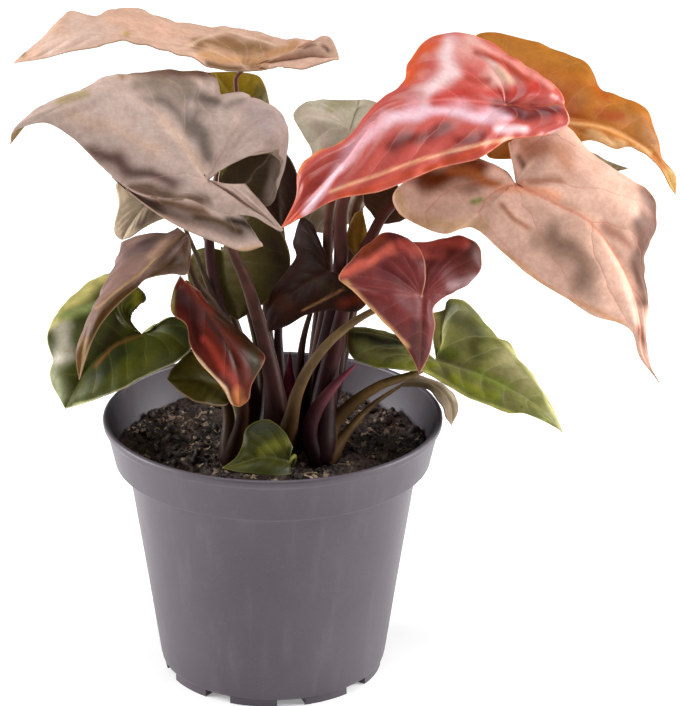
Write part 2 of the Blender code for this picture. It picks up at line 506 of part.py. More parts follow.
def tube(name, points, radii, collection):
    """A round stalk along a smooth curve, closed at both ends."""
    curve = bpy.data.curves.new(name, "CURVE")
    curve.dimensions = "3D"
    curve.bevel_depth = MM
    curve.bevel_resolution = 1
    curve.use_fill_caps = True
    path = curve.splines.new("POLY")
    path.points.add(len(points) - 1)
    for knot, point, radius in zip(path.points, points, radii):
        knot.co = (*(point * MM), 1.0)
        knot.radius = radius
    guide = bpy.data.objects.new(name + "_curve", curve)
    collection.objects.link(guide)
    bpy.context.view_layer.update()
    shape = guide.evaluated_get(bpy.context.evaluated_depsgraph_get())
    mesh = bpy.data.meshes.new_from_object(shape)
    welder = bmesh.new()
    welder.from_mesh(mesh)
    bmesh.ops.remove_doubles(welder, verts=welder.verts, dist=0.01 * MM)
    bmesh.ops.recalc_face_normals(welder, faces=welder.faces)
    welder.to_mesh(mesh)
    welder.free()
    item = add_object(name, mesh, collection)
    item.matrix_world = guide.matrix_world
    bpy.data.objects.remove(guide, do_unlink=True)
    return item


def petiole_end(leaf, radius):
    """Where a petiole of this radius stops, just under the blade, and the point before it."""
    rib = [sight(point) for point in leaf["rib"]]
    face = np.array(leaf["face"])
    ahead = rib[1] - rib[0]
    ahead = ahead / np.linalg.norm(ahead)
    face = face - ahead * (face @ ahead)
    face = face / np.linalg.norm(face)
    stop = rib[0] - face * (leaf.get("stand_off", STAND_OFF) + 0.5 * radius)
    return stop - face * APPROACH, stop


def make_shoot(name, shoot, parts, guides, surface):
    """A short stem in the soil, joined with its petioles and rolled young leaves."""
    foot_x, foot_y = shoot["foot"]
    heights = [SOIL_LEVEL + share * STEM_RISE for share in (-STEM_DEPTH / STEM_RISE, 0.6, 1.3, 2.0)]
    stem_points = [np.array((foot_x, foot_y, height)) for height in heights]
    stem_radii = (STEM_RADIUS, STEM_RADIUS, STEM_RADIUS * 0.85, STEM_RADIUS * 0.45)
    stem = tube(name, stem_points, stem_radii, parts)
    start = np.array((foot_x, foot_y, SOIL_LEVEL + 0.9 * STEM_RISE))
    stalks = []
    for leaf_name, foot_radius, top_radius, way in shoot["petioles"]:
        before, stop = petiole_end(LEAVES[leaf_name], top_radius)
        knots = [start] + [sight(point) for point in way] + [before, stop]
        stalks.append((leaf_name.replace("blade", "petiole"), knots, foot_radius, top_radius))
    for index, (foot_radius, way) in enumerate(shoot["spears"]):
        knots = [start] + [sight(point) for point in way]
        stalks.append((name + "_spear_" + str(index), knots, foot_radius, 0.5))
    for stalk_name, knots, foot_radius, top_radius in stalks:
        count = len(knots) + 2
        shares = np.linspace(0, 1, count + 1)
        points = along(knots, shares)
        radii = foot_radius + (top_radius - foot_radius) * shares
        stalk = tube(stalk_name, points, radii, guides)
        mark_guide(stalk)
        join = stem.modifiers.new(stalk_name, "BOOLEAN")
        join.operation = "UNION"
        join.object = stalk
        join.solver = "EXACT"
    stem.data.materials.append(surface)
    return stem


def turned(name, profile, steps, collection, surface):
    """A closed profile of (radius, height) turned round the upright axis."""
    mesh = bpy.data.meshes.new(name)
    outline = [(radius * MM, 0.0, height * MM) for radius, height in profile]
    edges = [(index, index + 1) for index in range(len(outline) - 1)]
    mesh.from_pydata(outline, edges, [])
    item = add_object(name, mesh, collection, surface)
    screw = item.modifiers.new("turn", "SCREW")
    screw.steps = steps
    screw.render_steps = steps
    screw.use_merge_vertices = True
    screw.merge_threshold = 0.00005
    screw.use_smooth_shade = True
    return item


def wall_radius(height):
    """The outer radius of the pot's body at a height."""
    top = POT_HEIGHT - SHOULDER_DEPTH
    share = (height - FOOT_HEIGHT) / (top - FOOT_HEIGHT)
    return BODY_FOOT_RADIUS + (BODY_TOP_RADIUS - BODY_FOOT_RADIUS) * share


def cylinder(name, radius, low, high, centre, collection, sides=20):
    mesh_data = bmesh.new()
    middle = Matrix.Translation((centre[0] * MM, centre[1] * MM, (low + high) / 2 * MM))
    bmesh.ops.create_cone(mesh_data, cap_ends=True, segments=sides, radius1=radius * MM,
                          radius2=radius * MM, depth=(high - low) * MM, matrix=middle)
    mesh = bpy.data.meshes.new(name)
    mesh_data.to_mesh(mesh)
    mesh_data.free()
    return add_object(name, mesh, collection)


def combine(item, other, operation):
    mark_guide(other)
    step = item.modifiers.new(other.name, "BOOLEAN")
    step.operation = operation
    step.object = other
    step.solver = "EXACT"


def make_foot(name, angle, guides):
    """One of the low curved feet round the edge of the pot's base."""
    mesh_data = bmesh.new()
    bmesh.ops.create_grid(mesh_data, x_segments=3, y_segments=1, size=1.0)
    outer = BODY_FOOT_RADIUS - 1.2
    for vertex in mesh_data.verts:
        turn = radians(angle + vertex.co.x * FOOT_SPAN / 2)
        radius = outer if vertex.co.y > 0 else outer - FOOT_WIDTH
        vertex.co = Vector((radius * cos(turn) * MM, radius * sin(turn) * MM, 0.0))
    bmesh.ops.recalc_face_normals(mesh_data, faces=mesh_data.faces)
    mesh = bpy.data.meshes.new(name)
    mesh_data.to_mesh(mesh)
    mesh_data.free()
    foot = add_object(name, mesh, guides)
    depth = foot.modifiers.new("depth", "SOLIDIFY")
    depth.thickness = (FOOT_HEIGHT + 0.6) * MM
    depth.offset = 1.0 if mesh.polygons[0].normal.z > 0 else -1.0
    return foot


def make_pot(parts, guides):
    """Thin grey plastic: rolled lip, band, shoulder, tapering body, feet and drain holes."""
    surface = material("pot_plastic", (0.15, 0.135, 0.15), 0.45)
    floor_top = FOOT_HEIGHT + FLOOR_THICKNESS
    top = POT_HEIGHT
    band_foot = top - BAND_DEPTH
    shoulder = top - SHOULDER_DEPTH
    inner_foot = wall_radius(floor_top) - POT_WALL
    profile = [
        (0.0, floor_top),
        (inner_foot - 2.0, floor_top),
        (inner_foot, floor_top + 2.0),
        (BODY_TOP_RADIUS - POT_WALL, shoulder + 0.5),
        (BAND_FOOT_RADIUS - POT_WALL, band_foot + 1.5),
        (POT_RIM_RADIUS - LIP_THICKNESS, top - 0.5),
        (POT_RIM_RADIUS - LIP_THICKNESS + 0.6, top),
        (POT_RIM_RADIUS - 0.7, top),
        (POT_RIM_RADIUS, top - 0.9),
        (POT_RIM_RADIUS - 0.3, top - 2.6),
        (BAND_TOP_RADIUS, top - 3.4),
        (BAND_FOOT_RADIUS, band_foot),
        (BAND_FOOT_RADIUS - 1.0, band_foot - 1.2),
        (BODY_TOP_RADIUS + 0.8, shoulder + 0.6),
        (BODY_TOP_RADIUS, shoulder - 0.6),
        (wall_radius(FOOT_HEIGHT + 3.0), FOOT_HEIGHT + 3.0),
        (wall_radius(FOOT_HEIGHT) - 1.0, FOOT_HEIGHT + 0.8),
        (wall_radius(FOOT_HEIGHT) - 3.0, FOOT_HEIGHT),
        (0.0, FOOT_HEIGHT),
    ]
    pot = turned("pot", profile, POT_SIDES, parts, surface)
    pad = cylinder("pot_pad", PAD_RADIUS, 0.0, FOOT_HEIGHT + 0.6, (0.0, 0.0), guides, 24)
    combine(pot, pad, "UNION")
    for index in range(FOOT_COUNT):
        angle = FOOT_FIRST_ANGLE + index * 360.0 / FOOT_COUNT
        combine(pot, make_foot("pot_foot_" + str(index), angle, guides), "UNION")
    for index in range(DRAIN_COUNT):
        turn = 2 * pi * (index + 0.5) / DRAIN_COUNT
        centre = (DRAIN_RING_RADIUS * cos(turn), DRAIN_RING_RADIUS * sin(turn))
        hole = cylinder("drain_" + str(index), DRAIN_RADIUS, -1.0, floor_top + 1.0, centre, guides, 10)
        combine(pot, hole, "DIFFERENCE")
    return pot


def soil_height(x, y):
    """The uneven top of the soil, highest round the stems."""
    reach = min(1.0, (x * x + y * y) ** 0.5 / 50.0)
    lumps = sin(x * 0.31 + 1.0) * cos(y * 0.27 - 0.5) + 0.6 * sin(x * 0.13 - y * 0.21 + 2.0)
    return SOIL_MOUND * (1.0 - reach * reach) + SOIL_BUMP * lumps


def make_soil(parts, guides):
    """Peat that fills the pot, with a plain hole for each stem."""
    surface = material("soil_peat", (0.025, 0.018, 0.014), 0.95)
    low = FOOT_HEIGHT + FLOOR_THICKNESS + GAP
    shoulder = POT_HEIGHT - SHOULDER_DEPTH
    foot_radius = wall_radius(low) - POT_WALL - GAP
    band_radius = BAND_FOOT_RADIUS - POT_WALL - GAP
    profile = [(0.0, SOIL_LEVEL)]
    ring_radii = (10.0, 20.0, 29.0, 37.0, 44.0, 50.0, band_radius - 0.2)
    profile += [(radius, SOIL_LEVEL) for radius in ring_radii]
    profile += [
        (band_radius, POT_HEIGHT - BAND_DEPTH + 2.2),
        (BODY_TOP_RADIUS - POT_WALL - GAP - 0.2, shoulder + 0.8),
        (foot_radius - 0.1, low + 3.0),
        (foot_radius - 2.6, low),
        (0.0, low),
    ]
    soil = turned("soil", profile, SOIL_SIDES, parts, surface)
    bpy.context.view_layer.update()
    shape = soil.evaluated_get(bpy.context.evaluated_depsgraph_get())
    mesh = bpy.data.meshes.new_from_object(shape)
    for vertex in mesh.vertices:
        if vertex.co.z > (SOIL_LEVEL - 0.01) * MM:
            vertex.co.z += soil_height(vertex.co.x / MM, vertex.co.y / MM) * MM
    soil.modifiers.clear()
    soil.data = mesh
    for name, shoot in SHOOTS.items():
        hole = cylinder(name + "_hole", STEM_RADIUS + 1.5 * GAP, SOIL_LEVEL - STEM_DEPTH - GAP,
                        SOIL_LEVEL + 20.0, shoot["foot"], guides, 16)
        combine(soil, hole, "DIFFERENCE")
    return soil


clear_scene()
part_collection = new_collection(OBJECT_NAME)
guide_collection = new_collection("guides")
make_pot(part_collection, guide_collection)
make_soil(part_collection, guide_collection)
stalk_surface = material("petiole_skin", (0.10, 0.045, 0.04), 0.4)
for shoot_name, shoot_row in SHOOTS.items():
    make_shoot(shoot_name, shoot_row, part_collection, guide_collection, stalk_surface)
for leaf_name, leaf_row in LEAVES.items():
    make_blade(leaf_name, leaf_row, part_collection)
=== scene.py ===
"""Looks of an arrowhead plant in its nursery pot: grey pot, peat, stalks and coloured leaves."""
from math import cos, pi, radians, sin

import bmesh
import bpy
import numpy as np
from mathutils import Matrix, Vector, noise


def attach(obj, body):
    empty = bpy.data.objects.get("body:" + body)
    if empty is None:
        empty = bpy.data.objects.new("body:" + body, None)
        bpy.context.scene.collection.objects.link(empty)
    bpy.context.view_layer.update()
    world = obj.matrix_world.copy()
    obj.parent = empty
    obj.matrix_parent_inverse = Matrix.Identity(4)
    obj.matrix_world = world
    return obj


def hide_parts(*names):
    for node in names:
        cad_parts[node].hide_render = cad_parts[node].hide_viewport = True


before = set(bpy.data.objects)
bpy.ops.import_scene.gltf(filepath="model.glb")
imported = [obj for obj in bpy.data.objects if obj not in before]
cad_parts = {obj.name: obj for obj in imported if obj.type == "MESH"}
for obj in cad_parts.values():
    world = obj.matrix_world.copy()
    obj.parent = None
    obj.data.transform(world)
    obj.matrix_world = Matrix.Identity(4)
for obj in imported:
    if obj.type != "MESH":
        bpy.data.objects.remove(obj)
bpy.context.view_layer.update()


# View, floor and light
# The plant is seen from 1.3 m away and about 22 degrees above level, as the photo shows it.
# It stands on a plain white floor, lit by two large soft lamps at the sides and one overhead.
SIGHT_ELEVATION = radians(21.7575)
SIGHT_ROLL = radians(0.3)
SIGHT_DISTANCE = 1.3
SIGHT_CENTRE = np.array((0.0236, 0.0, 0.1191))
GRID_MIDDLE = (340.0, 353.0)
GRID_STEPS = 3705.65
GRID_HEIGHT = 706
FILM = 36.0
SCREEN_GAMMA = 2.2
FLOOR_REACH = 3.0
FLOOR_GLOW = 0.25
ROOM_LIGHT = 0.15

forward = np.array((0.0, cos(SIGHT_ELEVATION), -sin(SIGHT_ELEVATION)))
eye = SIGHT_CENTRE - SIGHT_DISTANCE * forward
level_up = np.array((0.0, sin(SIGHT_ELEVATION), cos(SIGHT_ELEVATION)))
level_right = np.array((1.0, 0.0, 0.0))
right = level_right * cos(SIGHT_ROLL) + level_up * sin(SIGHT_ROLL)
up = level_up * cos(SIGHT_ROLL) - level_right * sin(SIGHT_ROLL)

lens = bpy.data.cameras.new("camera")
lens.sensor_fit = "VERTICAL"
lens.sensor_height = FILM
lens.lens = GRID_STEPS / GRID_HEIGHT * FILM
camera = bpy.data.objects.new("camera", lens)
camera.matrix_world = Matrix.Translation(eye) @ Matrix((right, up, -forward)).transposed().to_4x4()
bpy.context.scene.collection.objects.link(camera)
bpy.context.scene.camera = camera
bpy.context.scene.view_settings.view_transform = "Standard"


def tone(red, green, blue):
    """A colour given as it is seen, from 0 to 255, as Blender's linear colour."""
    return tuple((value / 255) ** SCREEN_GAMMA for value in (red, green, blue)) + (1.0,)


floor_net = bmesh.new()
bmesh.ops.create_grid(floor_net, x_segments=2, y_segments=2, size=FLOOR_REACH)
floor_mesh = bpy.data.meshes.new("floor")
floor_net.to_mesh(floor_mesh)
floor_net.free()
floor = bpy.data.objects.new("floor", floor_mesh)
bpy.context.scene.collection.objects.link(floor)
floor_paint = bpy.data.materials.new("floor_paint")
floor_paint.use_nodes = True
floor_shader = floor_paint.node_tree.nodes["Principled BSDF"]
floor_shader.inputs["Base Color"].default_value = tone(250, 250, 250)
floor_shader.inputs["Roughness"].default_value = 0.9
floor_shader.inputs["Emission Color"].default_value = (1.0, 1.0, 1.0, 1.0)
floor_shader.inputs["Emission Strength"].default_value = FLOOR_GLOW
floor_mesh.materials.append(floor_paint)

studio = bpy.data.worlds.new("studio")
studio.use_nodes = True
studio.node_tree.nodes["Background"].inputs["Color"].default_value = (1.0, 1.0, 1.0, 1.0)
studio.node_tree.nodes["Background"].inputs["Strength"].default_value = ROOM_LIGHT
bpy.context.scene.world = studio


def soft_lamp(name, place, aim, size, power):
    """A square soft box at a place in metres, facing a point."""
    lamp = bpy.data.lights.new(name, "AREA")
    lamp.shape = "SQUARE"
    lamp.size = size
    lamp.energy = power
    item = bpy.data.objects.new(name, lamp)
    item.location = place
    item.rotation_euler = (Vector(aim) - Vector(place)).to_track_quat("-Z", "Y").to_euler()
    bpy.context.scene.collection.objects.link(item)


soft_lamp("lamp_overhead", (0.05, -0.1, 1.5), (0.02, 0.0, 0.12), 0.9, 13.8)
soft_lamp("lamp_left", (-1.3, 0.1, 0.5), (0.02, 0.0, 0.1), 0.8, 32.0)
soft_lamp("lamp_right", (1.35, 0.05, 0.5), (0.02, 0.0, 0.1), 0.8, 33.0)


# Pot
# A 12 cm nursery pot, moulded in thin grey plastic with a rolled lip, a band and a shoulder.
# It stands on low feet with a flat pad between them. The skin is satin, with a fine grain.
MM = 0.001
POT_RIM_RADIUS = 60.0
POT_HEIGHT = 96.0
POT_WALL = 1.6
LIP_THICKNESS = 2.0
BAND_TOP_RADIUS = 58.6
BAND_FOOT_RADIUS = 56.0
BAND_DEPTH = 16.0
SHOULDER_DEPTH = 19.0
BODY_TOP_RADIUS = 51.0
BODY_FOOT_RADIUS = 40.0
FOOT_HEIGHT = 2.3
FLOOR_THICKNESS = 2.0
FOOT_COUNT = 9
FOOT_FIRST_ANGLE = -99.5
FOOT_SPAN = 25.0
FOOT_WIDTH = 5.0
FOOT_INSET = 1.0
FOOT_OVERLAP = 0.7
PAD_RADIUS = 9.0
DRAIN_COUNT = 6
DRAIN_RADIUS = 4.0
DRAIN_RING_RADIUS = 24.0
POT_TURNS = 180
POT_SHARP_EDGE = 42.0


class Signal:
    """A value in a material. Arithmetic on signals adds the Math nodes for it."""

    def __init__(self, finish, socket):
        self.finish = finish
        self.socket = socket

    def math(self, operation, *values):
        inputs = dict(enumerate(values))
        return self.finish.node("ShaderNodeMath", dict(operation=operation), inputs)

    def __add__(self, other):
        return self.math("ADD", self, other)

    def __sub__(self, other):
        return self.math("SUBTRACT", self, other)

    def __rsub__(self, other):
        return self.math("SUBTRACT", other, self)

    def __mul__(self, other):
        return self.math("MULTIPLY", self, other)

    def __truediv__(self, other):
        return self.math("DIVIDE", self, other)

    def __abs__(self):
        return self.math("ABSOLUTE", self)

    def fraction(self):
        """What a number has above its whole part."""
        return self.math("FRACT", self)

    __radd__ = __add__
    __rmul__ = __mul__

    def step(self, low, high):
        """0 below low, 1 above high and smooth between; a low above high turns it round."""
        return self.finish.node("ShaderNodeMapRange", dict(interpolation_type="SMOOTHSTEP"),
                                {"Value": self, "From Min": low, "From Max": high})


class Finish:
    """A material in the making."""

    def __init__(self, name, roughness, coat=0.0, coat_roughness=0.2, specular=0.5):
        self.material = bpy.data.materials.new(name)
        self.material.use_nodes = True
        self.tree = self.material.node_tree
        self.shader = self.tree.nodes["Principled BSDF"]
        self.shader.inputs["Roughness"].default_value = roughness
        self.shader.inputs["Coat Weight"].default_value = coat
        self.shader.inputs["Coat Roughness"].default_value = coat_roughness
        self.shader.inputs["Specular IOR Level"].default_value = specular

    def node(self, kind, settings=None, inputs=None, output=0):
        """Adds a node: its settings first, then the values or links of its sockets."""
        added = self.tree.nodes.new(kind)
        for name, value in (settings or {}).items():
            setattr(added, name, value)
        for name, value in (inputs or {}).items():
            if isinstance(value, Signal):
                self.tree.links.new(value.socket, added.inputs[name])
            else:
                added.inputs[name].default_value = value
        return Signal(self, added.outputs[output])

    def mix(self, share, first, second, blend="MIX"):
        """A colour between two colours. Sockets 6 and 7 of Mix are its colours."""
        return self.node("ShaderNodeMix", dict(data_type="RGBA", blend_type=blend),
                         {0: share, 6: first, 7: second}, 2)

    def place(self):
        return self.node("ShaderNodeTexCoord", output="Object")

    def noise(self, where, scale, detail=3.0, roughness=0.5):
        return self.node("ShaderNodeTexNoise", None,
                         {"Vector": where, "Scale": scale, "Detail": detail, "Roughness": roughness})

    def kept(self, name, output=0):
        """A value kept on the mesh's points: output 0 is a colour, 1 a vector."""
        return self.node("ShaderNodeAttribute", dict(attribute_name=name), None, output)

    def part(self, vector, axis):
        """One of the three numbers of a vector."""
        return self.node("ShaderNodeSeparateXYZ", None, {0: vector}, axis)

    def feed(self, socket, value):
        self.tree.links.new(value.socket, self.shader.inputs[socket])

    def bump(self, height, strength, distance):
        self.feed("Normal", self.node("ShaderNodeBump", None,
                                      {"Height": height, "Strength": strength, "Distance": distance}))


def piece_from(net, name, materials, node=None, slot=None):
    """Turns a bmesh into a piece that rides on the part and stands for a CAD node."""
    mesh = bpy.data.meshes.new(name)
    net.to_mesh(mesh)
    net.free()
    mesh.shade_smooth()
    for material in materials:
        mesh.materials.append(material)
    item = bpy.data.objects.new(name, mesh)
    bpy.context.scene.collection.objects.link(item)
    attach(item, "root")
    if node is not None:
        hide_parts(node)
    return item


def turned(net, profile, turns):
    """Spins a profile of (radius, height) in millimetres round the upright axis."""
    made = [net.verts.new((radius * MM, 0.0, height * MM)) for radius, height in profile]
    edges = [net.edges.new(pair) for pair in zip(made[:-1], made[1:])]
    bmesh.ops.spin(net, geom=made + edges, cent=(0, 0, 0), axis=(0, 0, 1), angle=2 * pi,
                   steps=turns, use_merge=True)
    bmesh.ops.remove_doubles(net, verts=net.verts, dist=0.01 * MM)
    bmesh.ops.recalc_face_normals(net, faces=net.faces)


def body_radius(height):
    """The outer radius of the pot's body at a height."""
    share = (height - FOOT_HEIGHT) / (POT_HEIGHT - SHOULDER_DEPTH - FOOT_HEIGHT)
    return BODY_FOOT_RADIUS + (BODY_TOP_RADIUS - BODY_FOOT_RADIUS) * share


def rounded(centre_radius, centre_height, radius, first, last, count=6):
    """Points on an arc of a profile, between two angles in degrees."""
    angles = [radians(first + (last - first) * step / count) for step in range(count + 1)]
    return [(centre_radius + radius * cos(angle), centre_height + radius * sin(angle)) for angle in angles]


pot_top = POT_HEIGHT
floor_top = FOOT_HEIGHT + FLOOR_THICKNESS
band_foot = pot_top - BAND_DEPTH
shoulder = pot_top - SHOULDER_DEPTH
lip_centre = POT_RIM_RADIUS - LIP_THICKNESS / 2
inner_foot = body_radius(floor_top) - POT_WALL
pot_profile = [(0.0, floor_top), (inner_foot - 2.5, floor_top)]
pot_profile += rounded(inner_foot - 2.0, floor_top + 2.0, 2.0, -80, -10, 4)
pot_profile += [(BODY_TOP_RADIUS - POT_WALL, shoulder + 0.5),
                (BAND_FOOT_RADIUS - POT_WALL - 0.4, band_foot + 0.9),
                (BAND_FOOT_RADIUS - POT_WALL, band_foot + 1.5),
                (POT_RIM_RADIUS - LIP_THICKNESS, pot_top - 1.2)]
pot_profile += rounded(lip_centre, pot_top - 1.0, LIP_THICKNESS / 2, 180, 0, 10)
pot_profile += [(POT_RIM_RADIUS - 0.1, pot_top - 2.2), (POT_RIM_RADIUS - 0.5, pot_top - 2.9),
                (BAND_TOP_RADIUS + 0.25, pot_top - 3.3), (BAND_TOP_RADIUS, pot_top - 4.0)]
pot_profile += rounded(BAND_FOOT_RADIUS - 1.2, band_foot + 0.4, 1.2, 0, -80, 5)
pot_profile += [(BODY_TOP_RADIUS + 1.6, shoulder + 1.2), (BODY_TOP_RADIUS + 0.5, shoulder + 0.5),
                (BODY_TOP_RADIUS, shoulder - 0.8),
                (body_radius(40.0), 40.0), (body_radius(FOOT_HEIGHT + 3.4), FOOT_HEIGHT + 3.4)]
pot_profile += rounded(body_radius(FOOT_HEIGHT) - 2.2, FOOT_HEIGHT + 2.4, 2.4, 0, -80, 6)
pot_profile += [(body_radius(FOOT_HEIGHT) - 4.0, FOOT_HEIGHT), (0.0, FOOT_HEIGHT)]

pot_net = bmesh.new()
turned(pot_net, pot_profile, POT_TURNS)
pot = piece_from(pot_net, "nursery_pot", [], "pot", "pot_plastic")


def cutter(name, net):
    """A body that is joined to or cut from the pot, and then removed."""
    bmesh.ops.recalc_face_normals(net, faces=net.faces)
    mesh = bpy.data.meshes.new(name)
    net.to_mesh(mesh)
    net.free()
    item = bpy.data.objects.new(name, mesh)
    bpy.context.scene.collection.objects.link(item)
    return item


def carve(item, other, operation):
    """Applies one Boolean step and removes the body that made it."""
    step = item.modifiers.new(other.name, "BOOLEAN")
    step.operation = operation
    step.object = other
    step.solver = "EXACT"
    bpy.context.view_layer.update()
    shape = item.evaluated_get(bpy.context.evaluated_depsgraph_get())
    mesh = bpy.data.meshes.new_from_object(shape)
    item.modifiers.clear()
    item.data = mesh
    bpy.data.objects.remove(other, do_unlink=True)


foot_net = bmesh.new()
foot_outer = BODY_FOOT_RADIUS - FOOT_INSET
foot_turns = [FOOT_FIRST_ANGLE + index * 360.0 / FOOT_COUNT for index in range(FOOT_COUNT)]
for foot_turn in foot_turns:
    made = bmesh.ops.create_grid(foot_net, x_segments=10, y_segments=1, size=1.0)
    for vertex in made["verts"]:
        turn = radians(foot_turn + vertex.co.x * FOOT_SPAN / 2)
        radius = foot_outer if vertex.co.y > 0 else foot_outer - FOOT_WIDTH
        vertex.co = Vector((radius * cos(turn) * MM, radius * sin(turn) * MM, 0.0))
bmesh.ops.create_circle(foot_net, cap_ends=True, segments=48, radius=PAD_RADIUS * MM)
lowered = bmesh.ops.extrude_face_region(foot_net, geom=list(foot_net.faces))
for item in lowered["geom"]:
    if isinstance(item, bmesh.types.BMVert):
        item.co.z += (FOOT_HEIGHT + FOOT_OVERLAP) * MM
carve(pot, cutter("pot_feet", foot_net), "UNION")

drain_net = bmesh.new()
for index in range(DRAIN_COUNT):
    turn = 2 * pi * (index + 0.5) / DRAIN_COUNT
    middle = Vector((DRAIN_RING_RADIUS * cos(turn), DRAIN_RING_RADIUS * sin(turn), floor_top / 2)) * MM
    bmesh.ops.create_cone(drain_net, cap_ends=True, segments=32, radius1=DRAIN_RADIUS * MM,
                          radius2=DRAIN_RADIUS * MM, depth=8 * MM, matrix=Matrix.Translation(middle))
carve(pot, cutter("pot_drains", drain_net), "DIFFERENCE")
pot.data.shade_smooth()
pot.data.set_sharp_from_angle(angle=radians(POT_SHARP_EDGE))

plastic = Finish("grey_plastic", 0.42, specular=0.35)
spot = plastic.place()
clouds = plastic.noise(spot, 22.0, 4.0)
upright = plastic.node("ShaderNodeMapping", None, {"Vector": spot, "Scale": (1.0, 1.0, 0.12)})
flow = plastic.noise(upright, 160.0, 3.0)
grit = plastic.noise(spot, 1900.0, 2.0, 0.7)
grey = plastic.mix(clouds.step(0.3, 0.7), tone(70, 63, 70), tone(77, 70, 77))
grey = plastic.mix(flow.step(0.5, 0.75) * 0.25, grey, tone(96, 89, 96))
plastic.feed("Base Color", plastic.mix(grit.step(0.55, 0.8) * 0.35, grey, tone(112, 106, 113)))
plastic.feed("Roughness", grit * 0.18 + clouds * 0.1 + 0.3)
plastic.bump(grit * 0.6 + flow * 0.6, 0.35, 0.0002)
pot.data.materials.clear()
pot.data.materials.append(plastic.material)


# Soil
# Damp dark peat that fills the pot to 12 mm below the lip, highest round the stems.
# Its top is uneven, with coarse clods, grains and fine dust worked into one surface.
GAP = 0.3
SOIL_LEVEL = 84.0
SOIL_MOUND = 1.4
SOIL_BUMP = 0.8
SOIL_STEPS = 190
MOUND_REACH = 50.0
CRUMB_SINK = 0.6
CLOD_SCALE = 0.22
GRAIN_SCALE = 0.62
FINE_SCALE = 1.5
DUST_SCALE = 2.1

soil_edge = BAND_FOOT_RADIUS - POT_WALL - GAP


def soil_height(x, y):
    """The uneven top of the soil in millimetres, as the solid has it."""
    reach = min(1.0, (x * x + y * y) ** 0.5 / MOUND_REACH)
    lumps = sin(x * 0.31 + 1.0) * cos(y * 0.27 - 0.5) + 0.6 * sin(x * 0.13 - y * 0.21 + 2.0)
    return SOIL_LEVEL + SOIL_MOUND * (1.0 - reach * reach) + SOIL_BUMP * lumps


def crumb_height(x, y):
    """The crumbs on that top: coarse clods, then grains, then dust."""
    clods = noise.noise((x * CLOD_SCALE, y * CLOD_SCALE, 3.0))
    grains = 0.6 - noise.voronoi((x * GRAIN_SCALE, y * GRAIN_SCALE, 1.0))[0][0]
    fines = 0.5 - noise.voronoi((x * FINE_SCALE, y * FINE_SCALE, 7.0))[0][0]
    dust = noise.noise((x * DUST_SCALE, y * DUST_SCALE, 5.0))
    return clods + 1.5 * grains + 0.55 * fines + 0.3 * dust


soil_net = bmesh.new()
bmesh.ops.create_grid(soil_net, x_segments=SOIL_STEPS, y_segments=SOIL_STEPS, size=1.0)
for vertex in soil_net.verts:
    u, v = vertex.co.x, vertex.co.y
    x = u * (1 - v * v / 2) ** 0.5 * soil_edge
    y = v * (1 - u * u / 2) ** 0.5 * soil_edge
    rise = crumb_height(x, y) - CRUMB_SINK
    vertex.co = Vector((x, y, soil_height(x, y) + rise)) * MM
rim_edges = [edge for edge in soil_net.edges if edge.is_boundary]
soil_side = ((soil_edge, 82.0), (BODY_TOP_RADIUS - POT_WALL - 0.5, shoulder + 0.8),
             (body_radius(8.0) - POT_WALL - 0.4, 8.0), (body_radius(5.0) - 4.2, 4.7))
for radius, height in soil_side:
    grown = bmesh.ops.extrude_edge_only(soil_net, edges=rim_edges)["geom"]
    rim_edges = [item for item in grown if isinstance(item, bmesh.types.BMEdge)]
    for vertex in (item for item in grown if isinstance(item, bmesh.types.BMVert)):
        flat = Vector((vertex.co.x, vertex.co.y)).normalized() * radius
        vertex.co = Vector((flat.x, flat.y, height)) * MM
bmesh.ops.contextual_create(soil_net, geom=rim_edges)
bmesh.ops.recalc_face_normals(soil_net, faces=soil_net.faces)

peat = Finish("damp_peat", 0.75, specular=0.5)
spot = peat.place()
patches = peat.noise(spot, 90.0, 4.0)
grain = peat.noise(spot, 900.0, 4.0, 0.7)
flecks = peat.node("ShaderNodeTexVoronoi", None, {"Vector": spot, "Scale": 520.0}, 1)
bright = peat.node("ShaderNodeSeparateColor", None, {"Color": flecks}, 0)
brown = peat.mix(patches.step(0.4, 0.6), tone(24, 17, 15), tone(64, 49, 43))
brown = peat.mix(grain.step(0.5, 0.7), brown, tone(108, 88, 78))
peat.feed("Base Color", peat.mix(bright.step(0.91, 0.96), brown, tone(168, 144, 122)))
peat.feed("Roughness", 0.9 - grain * 0.5)
peat.bump(grain + patches * 0.3, 0.8, 0.0006)
piece_from(soil_net, "peat", [peat.material], "soil", "soil_peat")


# Crumbs and fibres on the soil
# Loose bits of the same peat: small angular crumbs and thin pale fibres.
# They lie on the soil's top, most of them small, and are scattered evenly by golden-angle steps.
CRUMB_COUNT = 900
FIBRE_COUNT = 170
LEAST_CRUMB = 0.45
CRUMB_RANGE = 1.5
ROUND_CRUMB = 0.9
FIBRE_THICKNESS = 0.12
GOLDEN_TURN = pi * (3 - 5 ** 0.5)
bit_of_soil = np.random.default_rng(12)


def resting_place(index, count, edge):
    """An even spread of places over the soil, each a little off its spot."""
    radius = edge * ((index + 0.5) / count) ** 0.5
    turn = index * GOLDEN_TURN + bit_of_soil.uniform(-0.2, 0.2)
    x, y = radius * cos(turn), radius * sin(turn)
    return Vector((x, y, soil_height(x, y) + crumb_height(x, y) - CRUMB_SINK))


